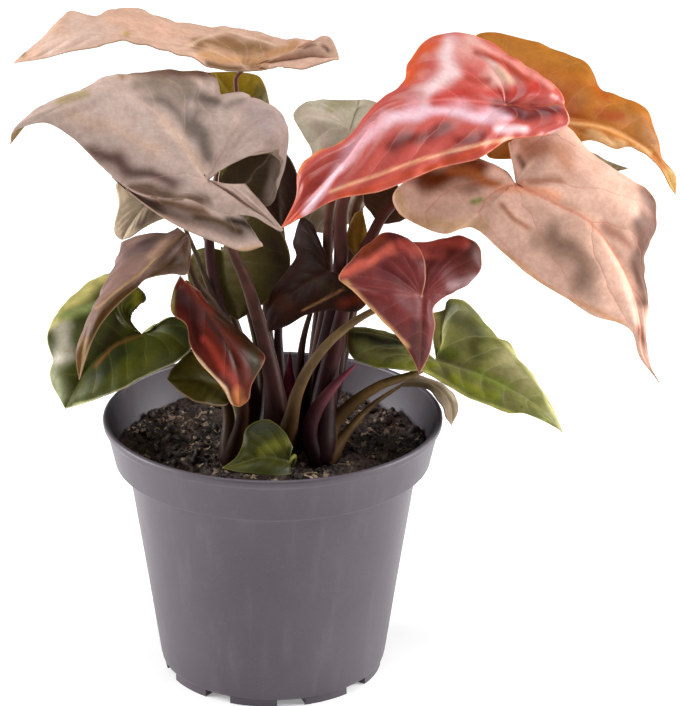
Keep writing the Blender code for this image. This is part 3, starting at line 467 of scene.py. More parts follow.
crumb_net = bmesh.new()
for index in range(CRUMB_COUNT):
    size = LEAST_CRUMB + CRUMB_RANGE * bit_of_soil.random() ** 4
    place = resting_place(index, CRUMB_COUNT, soil_edge - 1.8) + Vector((0, 0, 0.25 * size))
    rounds = 2 if size > ROUND_CRUMB else 1
    made = bmesh.ops.create_icosphere(crumb_net, subdivisions=rounds, radius=size * MM)
    stretch = bit_of_soil.uniform(0.6, 1.3, 3)
    for vertex in made["verts"]:
        rough = 1 + 0.5 * noise.noise(vertex.co / MM * 1.3 + place)
        vertex.co = Vector(np.array(vertex.co) * stretch * rough) + place * MM
piece_from(crumb_net, "peat_crumbs", [peat.material], None, "soil_peat")

fibre_net = bmesh.new()
for index in range(FIBRE_COUNT):
    place = resting_place(index * 5 + 2, FIBRE_COUNT * 5, soil_edge - 4.0) + Vector((0, 0, 0.5))
    length = bit_of_soil.uniform(1.5, 6.0)
    width = bit_of_soil.uniform(0.12, 0.4)
    turn = bit_of_soil.uniform(0, 2 * pi)
    arch = bit_of_soil.uniform(0.1, 0.9)
    bend = bit_of_soil.uniform(-1.5, 1.5)
    made = bmesh.ops.create_grid(fibre_net, x_segments=6, y_segments=1, size=1.0)
    for vertex in made["verts"]:
        step, side = vertex.co.x, vertex.co.y
        turn_here = turn + bend * step
        flat = Vector((cos(turn_here), sin(turn_here), 0)) * step * length / 2
        across = Vector((-sin(turn_here), cos(turn_here), 0.5)) * side * width / 2
        vertex.co = (place + flat + across + Vector((0, 0, arch * (1 - step * step)))) * MM
fibre = Finish("pale_fibre", 0.8)
spot = fibre.place()
strand = fibre.noise(spot, 140.0, 2.0)
fibre.feed("Base Color", fibre.mix(strand.step(0.35, 0.65), tone(74, 54, 40), tone(176, 146, 108)))
fibre.bump(fibre.noise(spot, 2500.0), 0.5, 0.0001)
fibres = piece_from(fibre_net, "peat_fibres", [fibre.material], None, "soil_peat")
fibre_wall = fibres.modifiers.new("wall", "SOLIDIFY")
fibre_wall.thickness = FIBRE_THICKNESS * MM


# High leaf at the left
# The highest leaf lies almost level, so its long upper face is seen from just above its edge.
# Its skin is pale peach, with brown painted shade in the hollows where the near half is turned up.
STEP = 1.0
COLUMNS_PER_STEP = 0.8
FEWEST_COLUMNS = 8
MOST_COLUMNS = 34
LEAF_THICKNESS = 0.45
FULL_BULGE = 25.0
WIDE_SPACING = 8.0
PILLOW_EASE = 4.0
GROOVE_WIDTH = 1.3
GROOVE_EASE = 3.0
LOOSE_FROM = 10.0
RIPPLE_DEPTH = 5.0
PINCH_FADE = 40.0
FOLD_SCALE = 0.07
CRIMP_SCALE = 0.2
STIR_SCALE = 0.11
STIR_SHARE = 0.6
SEED_STEP = 3.7
LEAF_WELD = 0.04
blades = {}


def sight(point):
    """The place in millimetres of a point (across, down, back).

    Across and down are steps of the view's grid, from its upper left corner. Back is how far the
    place is behind the pot's axis, in millimetres.
    """
    across, down, back = point
    ray = (forward + right * (across - GRID_MIDDLE[0]) / GRID_STEPS
           + up * (GRID_MIDDLE[1] - down) / GRID_STEPS)
    return (eye + ray * (back * MM - eye[1]) / ray[1]) / MM


def seen_at(places):
    """Where in the view places in millimetres are seen, as (across, down)."""
    rays = places * MM - eye
    depth = rays @ forward
    return np.stack([GRID_MIDDLE[0] + GRID_STEPS * (rays @ right) / depth,
                     GRID_MIDDLE[1] - GRID_STEPS * (rays @ up) / depth], axis=-1)


def unit(vector):
    vector = np.array(vector, float)
    return vector / np.linalg.norm(vector)


def spline(points, places):
    """The smooth curve or sheet through the points, at places from 0 to the last index."""
    points = np.asarray(points, float)
    places = np.asarray(places, float)
    index = np.clip(np.floor(places).astype(int), 0, len(points) - 2)
    share = (places - index).reshape((-1,) + (1,) * (points.ndim - 1))
    ends = [2 * points[0] - points[1]], [2 * points[-1] - points[-2]]
    padded = np.concatenate([ends[0], points, ends[1]])
    a, b, c, d = (padded[index + step] for step in range(4))
    return 0.5 * (2 * b + (c - a) * share + (2 * a - 5 * b + 4 * c - d) * share ** 2
                  + (3 * b - a - 3 * c + d) * share ** 3)


def along(points, shares):
    """Points at the given shares of the length of the smooth curve."""
    fine = spline(points, np.linspace(0, len(points) - 1, 16 * (len(points) - 1) + 1))
    length = np.concatenate([[0.0], np.cumsum(np.linalg.norm(np.diff(fine, axis=0), axis=1))])
    wanted = np.asarray(shares) * length[-1]
    return np.stack([np.interp(wanted, length, fine[:, axis]) for axis in range(3)], axis=-1)


def line_length(points):
    return float(np.linalg.norm(np.diff(points, axis=0), axis=1).sum())


def walked(grid, axis):
    """How far each point of a grid is from its first row or column, along the grid."""
    steps = np.cumsum(np.linalg.norm(np.diff(grid, axis=axis), axis=2), axis=axis)
    start = np.zeros_like(np.take(steps, [0], axis=axis))
    return np.concatenate([start, steps], axis=axis)


def ruffled(points, scale, offset):
    """Smooth noise at points, of the given fineness, from its own region of the noise."""
    offset = Vector(offset)
    values = [noise.noise(Vector(point) * scale + offset) for point in points.reshape(-1, 3)]
    return np.array(values).reshape(points.shape[:-1])


def half_blade(leaf, side, columns, rib_steps):
    """One half of a blade as rows from the rib to the margin, with each row's share of the rib."""
    rib = np.array([sight(point) for point in leaf["rib"]])
    face = unit(leaf["face"])
    shares = np.linspace(0, 1, columns + 1)
    listed = list(leaf[side])
    if listed[0][0] > 0:
        listed.insert(0, (0, leaf["rib"][0]))
    rows = []
    for share, *points in listed:
        points = [sight(point) for point in points]
        start = along(rib, [share])[0]
        if len(points) == 1:
            lift = face * leaf["bulge"] * min(1.0, np.linalg.norm(points[0] - start) / FULL_BULGE)
            points.insert(0, 0.5 * (start + points[0]) + lift)
        rows.append(along([start] + points, shares))
    rows.append(np.repeat([rib[-1]], columns + 1, axis=0))
    rows = np.array(rows)
    row_shares = [row[0] for row in listed] + [1.0]
    last_lobe = max(index for index, share in enumerate(row_shares) if share == 0)
    lobe_length = line_length(rows[:last_lobe + 1, -1])
    lobe_steps = int(np.ceil(lobe_length / STEP))
    rib_places = np.linspace(0, 1, rib_steps + 1)[1:]
    places = list(np.linspace(0, last_lobe, lobe_steps + 1))
    first_blade_row = len(places)
    places += list(np.interp(rib_places, row_shares[last_lobe:], range(last_lobe, len(rows))))
    grid = spline(rows, places)
    base_line = np.concatenate([np.repeat([rib[0]], first_blade_row, axis=0), along(rib, rib_places)])
    grid += (base_line - grid[:, 0])[:, None, :] * ((1 - shares) ** 2)[None, :, None]
    lobe_turns = np.linspace(-lobe_length / line_length(rib), 0, lobe_steps + 1)
    return grid, np.array(places), np.concatenate([lobe_turns, rib_places])


def raised(grid, turns, leaf, seed):
    """Puts the relief on a half blade: pillows between the veins, a groove and a waved margin."""
    shares = np.linspace(0, 1, grid.shape[1])
    phase = (turns[:, None] - leaf["sweep"] * shares[None, :] ** 1.4) * leaf["veins"]
    down_rows = np.gradient(grid, axis=0)
    over_columns = np.gradient(grid, axis=1)
    normal = np.cross(down_rows, over_columns)
    size = np.linalg.norm(normal, axis=2, keepdims=True)
    normal = normal / np.maximum(size, 1e-9)
    if (normal @ unit(leaf["face"])).mean() < 0:
        normal = -normal
    spacing = np.linalg.norm(down_rows, axis=2) / np.maximum(np.abs(np.gradient(phase, axis=0)), 1e-6)
    from_rib = walked(grid, 1)
    to_margin = from_rib[:, -1:] - from_rib
    if turns[0] < 0:
        to_margin = np.minimum(to_margin, walked(grid, 0))
    swell = (np.sin(pi * phase) ** 2 * leaf["pillow"] * np.clip(spacing / WIDE_SPACING, 0, 1)
             * np.clip(from_rib / PILLOW_EASE, 0, 1) * np.clip(to_margin / PILLOW_EASE, 0, 1))
    hollow = 1 - np.exp(-(from_rib / GROOVE_WIDTH) ** 2)
    groove = leaf["groove"] * hollow * np.clip(to_margin / GROOVE_EASE, 0, 1)
    loose = np.clip(from_rib / LOOSE_FROM, 0, 1)
    crimps = ruffled(grid, CRIMP_SCALE, (0, seed, 0))
    wave = crimps * leaf["ripple"] * loose * np.exp(-to_margin / RIPPLE_DEPTH)
    folds = ruffled(grid, FOLD_SCALE, (seed, 0, 0))
    height = swell + groove + folds * leaf["crumple"] * loose + wave
    height *= np.clip(np.linalg.norm(down_rows, axis=2) * PINCH_FADE, 0, 1)
    return grid + normal * height[:, :, None], phase, spacing, from_rib, to_margin


def painted(places, ground, marks, seed):
    """Colours at places: the ground, then each mark, a (colour, reach, line) that fades at its reach."""
    seen = seen_at(places)
    stir = np.stack([ruffled(places, STIR_SCALE, (seed, 5, 0)),
                     ruffled(places, STIR_SCALE, (0, seed, 9))], axis=-1)
    colours = np.tile(np.array(ground), (len(places), 1))
    for colour, reach, line in marks:
        spots = seen + stir * reach * STIR_SHARE
        line = np.array(line, float)
        if len(line) == 1:
            line = np.concatenate([line, line])
        nearest = np.full(len(places), 1e9)
        for first, last in zip(line[:-1], line[1:]):
            run = last - first
            share = np.clip(((spots - first) @ run) / max(run @ run, 1e-9), 0, 1)
            nearest = np.minimum(nearest, np.linalg.norm(spots - first - share[:, None] * run, axis=1))
        share = np.clip(1 - nearest / reach, 0, 1)
        share = (share * share * (3 - 2 * share))[:, None]
        colours += (np.array(colour) - colours) * share
    return colours


def leaf_skin(name, side, leaf):
    """The skin of one side of a blade: painted ground, mottling, rib, side veins and fine net."""
    upper = side == "tint"
    skin = Finish(name, leaf["roughness"], leaf["coat"] if upper else 0.0, 0.25, leaf["specular"])
    ground = skin.kept(side)
    grain = skin.kept("grain", 1)
    reach = skin.kept("reach", 1)
    phase, spacing = (skin.part(grain, axis) for axis in (0, 2))
    from_rib, to_margin, share = (skin.part(reach, axis) for axis in range(3))
    spot = skin.place()
    drift = skin.noise(spot, 120.0, 2.0)
    turn = phase + (drift - 0.5) * 0.35
    off = abs((turn + 0.5).fraction() - 0.5) * spacing
    inner = to_margin.step(0.8, 4.0)
    side_line = off.step(0.55, 0.1) * inner
    side_halo = off.step(2.4, 0.2) * inner
    rib_width = 1.15 - share * 0.85
    rib_line = (from_rib / rib_width).step(0.95, 0.35)
    rib_halo = from_rib.step(3.2, 0.3)
    hem = abs(to_margin - 2.6).step(0.45, 0.05) * 0.6
    net = skin.node("ShaderNodeTexVoronoi", dict(feature="DISTANCE_TO_EDGE"),
                    {"Vector": spot, "Scale": 330.0})
    net_line = net.step(0.1, 0.0)
    fine = skin.noise(spot, 700.0, 4.0, 0.65)
    blotch = skin.noise(spot, 170.0, 4.0, 0.6)
    veins = rib_line + side_line * 0.7 + hem * 0.4 + net_line * 0.07
    veins = veins.math("MINIMUM", veins, 1.0)
    shade = skin.mix(blotch.step(0.35, 0.65) * leaf["mottle"], ground, leaf["blotch"], "MULTIPLY")
    shade = skin.mix((rib_halo + side_halo) * 0.5 * leaf["halo"], shade, leaf["vein"])
    shade = skin.mix(veins * leaf["vein_share"], shade, leaf["vein"])
    shade = skin.mix(fine.step(0.35, 0.65) * 0.35, shade, tone(216, 206, 200), "MULTIPLY")
    skin.feed("Base Color", skin.mix(to_margin.step(0.7, 0.1) * leaf["hem_share"], shade, leaf["hem"]))
    dullness = leaf["roughness"] - 0.15 + (0 if upper else 0.12)
    skin.feed("Roughness", fine * 0.16 + blotch * 0.14 + dullness)
    sign = -0.6 if upper else 1.0
    ridges = (rib_halo * 0.8 + side_line * 0.5 + side_halo * 0.6 + net_line * 0.1) * sign
    skin.bump(ridges + fine * 0.35 + blotch * 0.35, leaf["relief"], 0.00035)
    return skin.material


def lay_sheet(net, rows, layers, values, flip):
    """A grid laid on the rows, with its values kept on the points."""
    count = len(rows) - 1
    columns = len(rows[0]) - 1
    made = bmesh.ops.create_grid(net, x_segments=count, y_segments=columns, size=1.0)
    for vertex in made["verts"]:
        step = round((vertex.co.x + 1) / 2 * count)
        column = round((vertex.co.y + 1) / 2 * columns)
        vertex.co = Vector(rows[step][column] * MM)
        for layer, value in zip(layers, values):
            vertex[layer] = value[step][column]
    if flip:
        faces = list({face for vertex in made["verts"] for face in vertex.link_faces})
        bmesh.ops.reverse_faces(net, faces=faces)


def blade(name, colour, under, marks=(), under_marks=(), flap_marks=(), **leaf):
    """A leaf blade: two raised halves welded on the rib, painted, and given its thickness.

    The rib runs from the petiole to the tip. A row of a half is its share of the rib, any points
    on the way, and its point on the margin, and share 0 is a lobe. Left and right are as on the
    upper face with the tip away from the viewer. Marks paint the upper side and under_marks the
    lower one: each is a colour, a reach and a line, in steps of the view's grid.
    """
    standard = dict(bulge=2.0, veins=6.0, sweep=0.22, pillow=0.35, groove=0.35, crumple=0.8, ripple=0.9,
                    roughness=0.48, coat=0.03, specular=0.14, relief=0.4, mottle=0.35,
                    blotch=tone(205, 195, 190), vein=tone(200, 180, 160), vein_share=0.35, halo=0.06,
                    hem=tone(150, 120, 90), hem_share=0.5)
    leaf = {**standard, **leaf}
    blades[name] = leaf
    seed = SEED_STEP * len(blades)
    rib_steps = int(np.ceil(line_length(np.array([sight(point) for point in leaf["rib"]])) / STEP))
    net = bmesh.new()
    layers = [net.verts.layers.float_vector.new("grain"), net.verts.layers.float_vector.new("reach"),
              net.verts.layers.float_color.new("tint"), net.verts.layers.float_color.new("under")]
    for side in ("right", "left"):
        widest = max(line_length(np.array([sight(point) for point in [leaf["rib"][0]] + list(row[1:])]))
                     for row in leaf[side])
        columns = int(np.clip(widest / STEP * COLUMNS_PER_STEP, FEWEST_COLUMNS, MOST_COLUMNS))
        grid, places, turns = half_blade(leaf, side, columns, rib_steps)
        grid, phase, spacing, from_rib, to_margin = raised(grid, turns, leaf, seed)
        sheets = [(marks, grid, phase, spacing, from_rib, to_margin, turns)]
        if side == "left" and "flap" in leaf:
            sheets.append((flap_marks, *flap_sheet(leaf, grid, places, phase, spacing, from_rib, turns)))
        for sheet_marks, rows, phase, spacing, from_rib, to_margin, turns in sheets:
            flat = rows.reshape(-1, 3)
            across = np.tile(np.linspace(0, 1, rows.shape[1]), (len(rows), 1))
            share = np.tile(np.clip(turns, 0, 1)[:, None], (1, rows.shape[1]))
            values = [np.stack([phase, across, spacing], axis=-1),
                      np.stack([from_rib, to_margin, share], axis=-1),
                      painted(flat, colour, sheet_marks, seed).reshape(rows.shape[:2] + (4,)),
                      painted(flat, under, under_marks, seed).reshape(rows.shape[:2] + (4,))]
            lay_sheet(net, rows, layers, values, side == "right")
    bmesh.ops.remove_doubles(net, verts=net.verts, dist=LEAF_WELD * MM)
    skins = [leaf_skin(name + "_upper", "tint", leaf), leaf_skin(name + "_under", "under", leaf)]
    item = piece_from(net, "leaf_" + name, skins, "blade_" + name, "blade_" + name)
    wall = item.modifiers.new("wall", "SOLIDIFY")
    wall.thickness = LEAF_THICKNESS * MM
    wall.offset = -1.0
    wall.material_offset = 1
    wall.material_offset_rim = 0


blade(
    "high_left", face=(0.0, -0.2, 1.0), bulge=0.8,
    rib=[(243, 68, 22), (215, 52, 20), (185, 45, 18), (150, 40, 16), (115, 35, 14), (70, 35, 12),
         (35, 50, 12), (13, 63, 12)],
    left=[(0, (275, 58, 17), (302, 44, 15)), (0, (290, 55, 15), (328, 36, 16)), (0, (339, 57, 12)),
          (0, (332, 60, 10)), (0, (308, 68, 9)), (0, (283, 66, 10)), (0, (262, 71, 14)),
          (0.12, (213, 67, 12)), (0.3, (185, 56, 8)), (0.45, (155, 47, 6)), (0.6, (122, 41, 5)),
          (0.72, (97, 47, 3)), (0.82, (69, 52, 5)), (0.92, (40, 59, 8))],
    right=[(0, (268, 62, 24), (298, 52, 32)), (0, (280, 54, 28), (312, 41, 38)),
           (0, (258, 48, 33), (277, 38, 42)), (0, (240, 28, 48)), (0.15, (200, 26, 52)),
           (0.3, (170, 19, 50)), (0.45, (140, 9, 46)), (0.6, (115, 9, 42)), (0.7, (95, 16, 34)),
           (0.8, (70, 10, 28)), (0.88, (52, 30, 20)), (0.95, (29, 48, 15))],
    colour=tone(194, 158, 138), under=tone(176, 136, 110),
    marks=[(tone(192, 164, 150), 26, [(50, 50), (75, 35), (100, 32)]),
           (tone(200, 160, 138), 16, [(115, 18), (160, 30), (190, 36)]),
           # Painted shade: the brown marks along the fold and in the hollows beside it are shade, painted
           # on the skin.
           (tone(132, 98, 66), 13, [(198, 45), (222, 42), (250, 49), (268, 51)]),
           (tone(178, 134, 94), 11, [(206, 56), (236, 59), (254, 60)]),
           (tone(108, 78, 50), 6, [(210, 64), (226, 67), (238, 70)]),
           (tone(170, 126, 88), 10, [(258, 66), (276, 54), (293, 46)]),
           (tone(166, 124, 88), 7, [(262, 62), (250, 68)]),
           (tone(206, 174, 150), 2, [(180, 50), (208, 36), (226, 31), (244, 36), (276, 45)]),
           (tone(212, 176, 154), 12, [(322, 44), (336, 60)]),
           (tone(120, 86, 70), 2.5, [(304, 48), (314, 44)]),
           (tone(110, 78, 64), 3.5, [(323, 45), (329, 52)]), (tone(120, 100, 60), 6, [(22, 54)]),
           (tone(166, 138, 78), 6, [(127, 35)])],
    vein=tone(226, 190, 168), vein_share=0.15, sweep=0.3, veins=7.0, pillow=0.35, crumple=0.9, ripple=0.9)


# Great leaf at the left
# The large leaf at the left, grey-mauve with a pinkish bloom, with painted shade in the hollows between its
# veins.
# Its right lobe is bent back, so its inside shows, dark olive partly of its own and partly from painted
# shade, and its near margin is rolled under.
FLAP_COLUMNS = 16
FLAP_HOLLOW = 5.0
FLAP_FREE = 0.08
FLAP_TAPER = 0.9
FLAP_LEAN = 1.35
FLAP_FADE = 4.0


def flap_sheet(leaf, grid, places, phase, spacing, from_rib, turns):
    """The rolled-under strip of the near margin, from the margin to its own lower edge."""
    flap = leaf["flap"]
    edge = np.array([sight(point) for point in flap["margin"]])
    chosen = np.where((places >= flap["first"]) & (places <= flap["last"]))[0]
    shares = (places[chosen] - flap["first"]) / (flap["last"] - flap["first"])
    feet = spline(edge, shares * (len(edge) - 1))
    columns = np.linspace(0, 1, FLAP_COLUMNS + 1)
    tops = grid[chosen, -1]
    free = np.clip(1 - shares / FLAP_FREE, 0, FLAP_TAPER)[:, None]
    across = free + (1 - free) * columns[None, :]
    rows = tops[:, None, :] + (feet - tops)[:, None, :] * across[:, :, None]
    deep = np.sin(pi * across) * (FLAP_LEAN - across) * np.clip(FLAP_FADE * (1 - shares), 0, 1)[:, None]
    rows += forward * FLAP_HOLLOW * deep[:, :, None]
    reach = np.linalg.norm(feet - tops, axis=1)[:, None] * across
    flat_phase = np.repeat(phase[chosen, -1:], FLAP_COLUMNS + 1, axis=1)
    flat_spacing = np.repeat(spacing[chosen, -1:], FLAP_COLUMNS + 1, axis=1)
    return (rows, flat_phase, flat_spacing, from_rib[chosen, -1:] + reach, reach[:, -1:] - reach,
            turns[chosen])


blade(
    "great_left", face=(-0.1, -0.7, 0.7), bulge=2.0,
    rib=[(207, 180, -22), (180, 140, -14), (150, 108, -10), (110, 90, -10), (65, 101, -14), (22, 120, -18),
         (9.5, 144, -20)],
    left=[(0, (225, 184, -26), (245, 184, -28)), (0, (262, 203, -30)), (0, (283, 231, -32)),
          (0, (255, 217, -32)), (0, (218, 212, -31)), (0.04, (188, 200, -29)), (0.12, (160, 198, -27)),
          (0.22, (132, 191, -24)), (0.34, (105, 170, -22)), (0.48, (85, 150, -20)), (0.6, (71, 137, -19)),
          (0.76, (45, 123, -18)), (0.9, (15, 131, -20))],
    right=[(0, (222, 166, -20), (245, 158, -16), (278, 146, -10)),
           (0, (250, 138, -8), (280, 134, -4), (279, 180, 5)),
           (0, (246, 122, 0), (286, 122, 4), (267, 206, 9)),
           (0, (242, 108, 4), (264, 111, 10), (221, 193, 2)),
           (0.05, (220, 115, 0), (246, 97, 12), (222, 150, 6)), (0.15, (200, 100, 6), (220, 85, 15)),
           (0.25, (202, 72, 16)), (0.38, (165, 70, 14)), (0.5, (121, 74, 8)), (0.62, (92, 86, 0)),
           (0.75, (62, 99, -6)), (0.88, (37, 112, -13))],
    flap=dict(first=3, last=8, margin=[(263, 246, -33), (243, 251, -33), (222, 244, -32), (196, 234, -31),
               (172, 222, -29), (148, 206, -26), (118, 182, -22)]),
    # The dark olive-brown under colour is partly the underside's own colour and partly painted shade, for
    # the inside of the bent-back lobe.
    colour=tone(182, 160, 150), under=tone(66, 52, 30),
    # Painted shade: the dark grey marks in the middle and the brown one at the lower left are the shade in
    # the hollows between the veins.
    marks=[(tone(112, 98, 89), 22, [(160, 98), (182, 110), (198, 130)]),
           (tone(100, 88, 80), 16, [(186, 90), (200, 96), (214, 104)]),
           (tone(104, 91, 83), 15, [(192, 118), (204, 140), (205, 152)]),
           (tone(128, 114, 102), 14, [(140, 84), (165, 82), (190, 86)]),
           (tone(96, 74, 68), 15, [(92, 152), (122, 167), (150, 176), (172, 182)]),
           (tone(152, 134, 100), 12, [(62, 102), (85, 92)]), (tone(150, 120, 84), 6, [(122, 77)]),
           (tone(190, 162, 146), 10, [(72, 116), (112, 128), (160, 152)]),
           (tone(196, 168, 150), 8, [(165, 121), (186, 147), (205, 176)]),
           (tone(176, 156, 152), 24, [(255, 108), (268, 124)]),
           (tone(140, 124, 114), 8, [(242, 100), (226, 110)]),
           (tone(190, 164, 152), 14, [(196, 184), (235, 194), (262, 212)]),
           # Painted shade: these two dark marks are the shade in the valley above the rolled-under margin.
           (tone(92, 70, 52), 7, [(140, 193), (172, 203), (205, 210)]),
           (tone(100, 78, 66), 10, [(130, 188), (170, 196), (206, 203)])],
    # Painted shade: the first three, dark marks are the shade under the blade's margin and inside the fold
    # of the rolled strip.
    flap_marks=[(tone(112, 84, 66), 9, [(150, 199), (176, 206), (205, 212)]),
                (tone(42, 30, 20), 9, [(228, 217), (242, 223), (256, 230)]),
                (tone(96, 74, 50), 7, [(196, 217), (222, 222), (240, 232)]),
                (tone(204, 176, 162), 9, [(165, 216), (198, 229), (232, 243), (258, 249)]),
                (tone(176, 148, 138), 12, [(128, 186), (150, 202)]),
                (tone(206, 164, 120), 3, [(240, 250), (262, 247)])],
    under_marks=[(tone(134, 110, 74), 30, [(10, 140), (30, 118), (72, 126)]),
                 (tone(120, 118, 50), 5, [(209, 178), (226, 163)]),
                 (tone(150, 130, 118), 15, [(285, 128), (282, 165), (274, 200)])],
    vein=tone(190, 158, 138), vein_share=0.25, halo=0.04, pillow=0.5, crumple=1.6, relief=0.5, sweep=0.3,
    veins=6.0, hem=tone(150, 118, 90))


# Olive leaf behind
# A young olive leaf that looks out between the two big leaves at the left.
# A petiole of the rear left shoot carries it.
blade(
    "olive_rear", face=(0.2, 0.0, 1.0), bulge=2.0,
    rib=[(240, 140, 28), (235, 105, 36), (215, 72, 42)],
    left=[(0, (208, 140, 28)), (0.2, (178, 112, 33)), (0.5, (180, 88, 40)), (0.8, (197, 74, 42))],
    right=[(0, (268, 145, 30)), (0, (272, 120, 34)), (0.3, (267, 92, 40)), (0.6, (259, 77, 44)),
           (0.8, (240, 72, 44))],
    colour=tone(134, 116, 26), under=tone(110, 100, 40),
    marks=[(tone(96, 90, 50), 14, [(262, 92), (268, 120)]),
           (tone(146, 124, 30), 12, [(215, 76), (240, 80)])],
    vein=tone(150, 140, 80))


# Grey leaf in the middle
# A pale grey-green leaf behind the pink one, its lower part in shade.
# It hangs tip down from a petiole of the rear right shoot.
blade(
    "grey_middle", face=(0.0, -0.7, 0.7), bulge=2.0,
    rib=[(350, 130, 30), (342, 165, 26), (332, 200, 21), (322, 233, 18)],
    left=[(0, (347, 113, 40), (345, 101, 46)), (0, (378, 102, 44)), (0, (398, 130, 37)),
          (0.3, (388, 165, 30)), (0.6, (368, 200, 24)), (0.85, (348, 224, 20))],
    right=[(0, (355, 113, 36), (360, 99, 40)), (0, (330, 100, 42)), (0, (306, 102, 40)),
           (0, (293, 115, 36)), (0.1, (303, 135, 31)), (0.3, (312, 157, 26)), (0.6, (297, 195, 20)),
           (0.8, (301, 222, 17)), (0.93, (313, 231, 17))],
    colour=tone(176, 170, 150), under=tone(110, 98, 76),
    # Painted shadow: the dark mark on the lower part is the pink leaf's shadow.
    marks=[(tone(112, 96, 76), 24, [(300, 205), (322, 225)]),
           (tone(192, 178, 162), 14, [(310, 115), (340, 112)]),
           (tone(146, 142, 112), 10, [(352, 105), (330, 104)]),
           (tone(180, 162, 148), 12, [(318, 130), (325, 150)])],
    vein=tone(200, 188, 168), vein_share=0.35)


# Pink leaf at the front
# The glossy pink-red leaf, whose blade hangs from the upper right down to its tip at the left.
# It has pale pink fields, painted highlights of its waxy gloss, an orange lobe and an orange margin turned
# under.
blade(
    "pink_front", face=(0.0, -0.6, 0.8), bulge=2.5,
    rib=[(505, 105, 2), (440, 100, -8), (385, 113, -17), (345, 160, -28), (310, 198, -36), (281, 228, -42)],
    left=[(0, (535, 105, 3), (564, 104, 3)), (0, (568, 125, -1)), (0, (540, 136, -8)),
          (0, (510, 139, -14)), (0.12, (480, 158, -22)), (0.25, (440, 168, -26)), (0.38, (410, 180, -31)),
          (0.5, (378, 192, -35)), (0.65, (338, 199, -39)), (0.8, (308, 214, -42))],
    right=[(0, (535, 109, 8), (563, 112, 10)), (0, (562, 96, 13)), (0, (547, 80, 16)), (0, (513, 57, 20)),
           (0, (488, 41, 21)), (0, (458, 33, 20)), (0.12, (429, 39, 15)), (0.25, (409, 61, 6)),
           (0.35, (402, 84, -2)), (0.48, (372, 107, -12)), (0.6, (348, 137, -20)), (0.7, (312, 154, -24)),
           (0.8, (298, 172, -29)), (0.9, (296, 197, -35))],
    colour=tone(174, 76, 68), under=tone(186, 96, 66),
    marks=[(tone(190, 78, 40), 17, [(408, 76), (413, 56), (436, 42)]),
           # Painted highlight: the pale pink marks are reflections of the gloss, painted on the skin.
           (tone(212, 184, 184), 19, [(448, 46), (450, 70), (428, 88)]),
           (tone(206, 160, 150), 18, [(470, 44), (492, 60), (500, 88)]),
           (tone(186, 152, 128), 8, [(500, 75), (512, 80)]),
           (tone(216, 178, 190), 14, [(388, 120), (410, 108), (445, 105), (478, 114), (503, 119)]),
           (tone(216, 164, 174), 12, [(384, 122), (354, 150), (342, 168)]),
           (tone(106, 34, 28), 13, [(394, 146), (420, 136), (446, 130)]),
           (tone(120, 44, 38), 10, [(458, 142), (484, 138)]),
           (tone(96, 28, 26), 12, [(498, 110), (530, 113), (554, 110)]),
           (tone(150, 60, 50), 7, [(468, 78), (488, 82)]),
           (tone(166, 50, 40), 11, [(436, 99), (470, 96), (505, 95), (545, 84)]),
           (tone(206, 128, 118), 5, [(470, 46), (520, 66), (552, 88)]),
           (tone(150, 56, 38), 7, [(475, 52), (500, 62), (530, 78)]),
           (tone(154, 56, 44), 16, [(298, 190), (318, 168)]),
           (tone(240, 196, 206), 7, [(303, 212), (326, 186), (340, 167)]),
           (tone(178, 70, 44), 6, [(340, 196), (380, 186), (430, 168), (480, 150), (508, 141)]),
           (tone(222, 158, 122), 3, [(330, 192), (370, 178), (420, 160), (470, 147), (512, 138)]),
           (tone(206, 124, 78), 4, [(298, 172), (306, 158), (320, 149), (342, 141)]),
           (tone(190, 84, 62), 8, [(285, 224), (296, 212)]),
           (tone(226, 186, 190), 7, [(500, 130), (528, 129)]),
           (tone(220, 176, 182), 3, [(548, 134), (566, 127)])],
    vein=tone(214, 126, 122), vein_share=0.3, roughness=0.36, coat=0.12, specular=0.3, halo=0.05,
    hem=tone(206, 120, 76), pillow=0.5, mottle=0.15, sweep=0.3)


# Orange leaf at the right
# The leaf behind the pink one, tan to orange, with a drawn-out brown tip.
# A petiole of the rear right shoot carries it.
blade(
    "orange_right", face=(0.1, -0.5, 0.85), bulge=2.0,
    rib=[(530, 112, 22), (565, 118, 20), (600, 125, 20), (640, 145, 22), (662, 166, 24), (676, 194, 26)],
    left=[(0, (505, 85, 32), (478, 60, 40)), (0, (476, 36, 46)), (0, (502, 33, 48)), (0.02, (535, 42, 47)),
          (0.12, (563, 51, 46)), (0.25, (589, 66, 42)), (0.38, (602, 88, 36)), (0.5, (625, 99, 34)),
          (0.62, (645, 108, 33)), (0.72, (656, 133, 29)), (0.82, (662, 157, 27)), (0.92, (676, 176, 27))],
    right=[(0, (505, 135, 18), (485, 145, 18)), (0, (490, 158, 15)), (0, (520, 158, 12)),
           (0.15, (560, 150, 12)), (0.35, (590, 140, 14)), (0.5, (615, 149, 16)), (0.65, (632, 147, 18)),
           (0.8, (657, 163, 20)), (0.92, (670, 185, 23))],
    colour=tone(160, 96, 34), under=tone(186, 132, 80),
    marks=[(tone(152, 74, 2), 26, [(552, 86), (572, 108)]),
           (tone(158, 100, 36), 18, [(490, 40), (540, 50), (580, 66)]),
           (tone(150, 98, 48), 16, [(625, 116), (650, 142)]),
           (tone(200, 146, 92), 4, [(566, 122), (610, 128), (650, 152)]),
           (tone(196, 152, 104), 9, [(590, 136), (622, 146)]),
           (tone(176, 144, 82), 8, [(668, 172), (674, 190)]),
           (tone(150, 72, 30), 9, [(600, 112), (622, 118)]),
           (tone(158, 82, 26), 10, [(596, 82), (604, 96)])],
    vein=tone(176, 112, 62), vein_share=0.35, hem=tone(178, 128, 70))


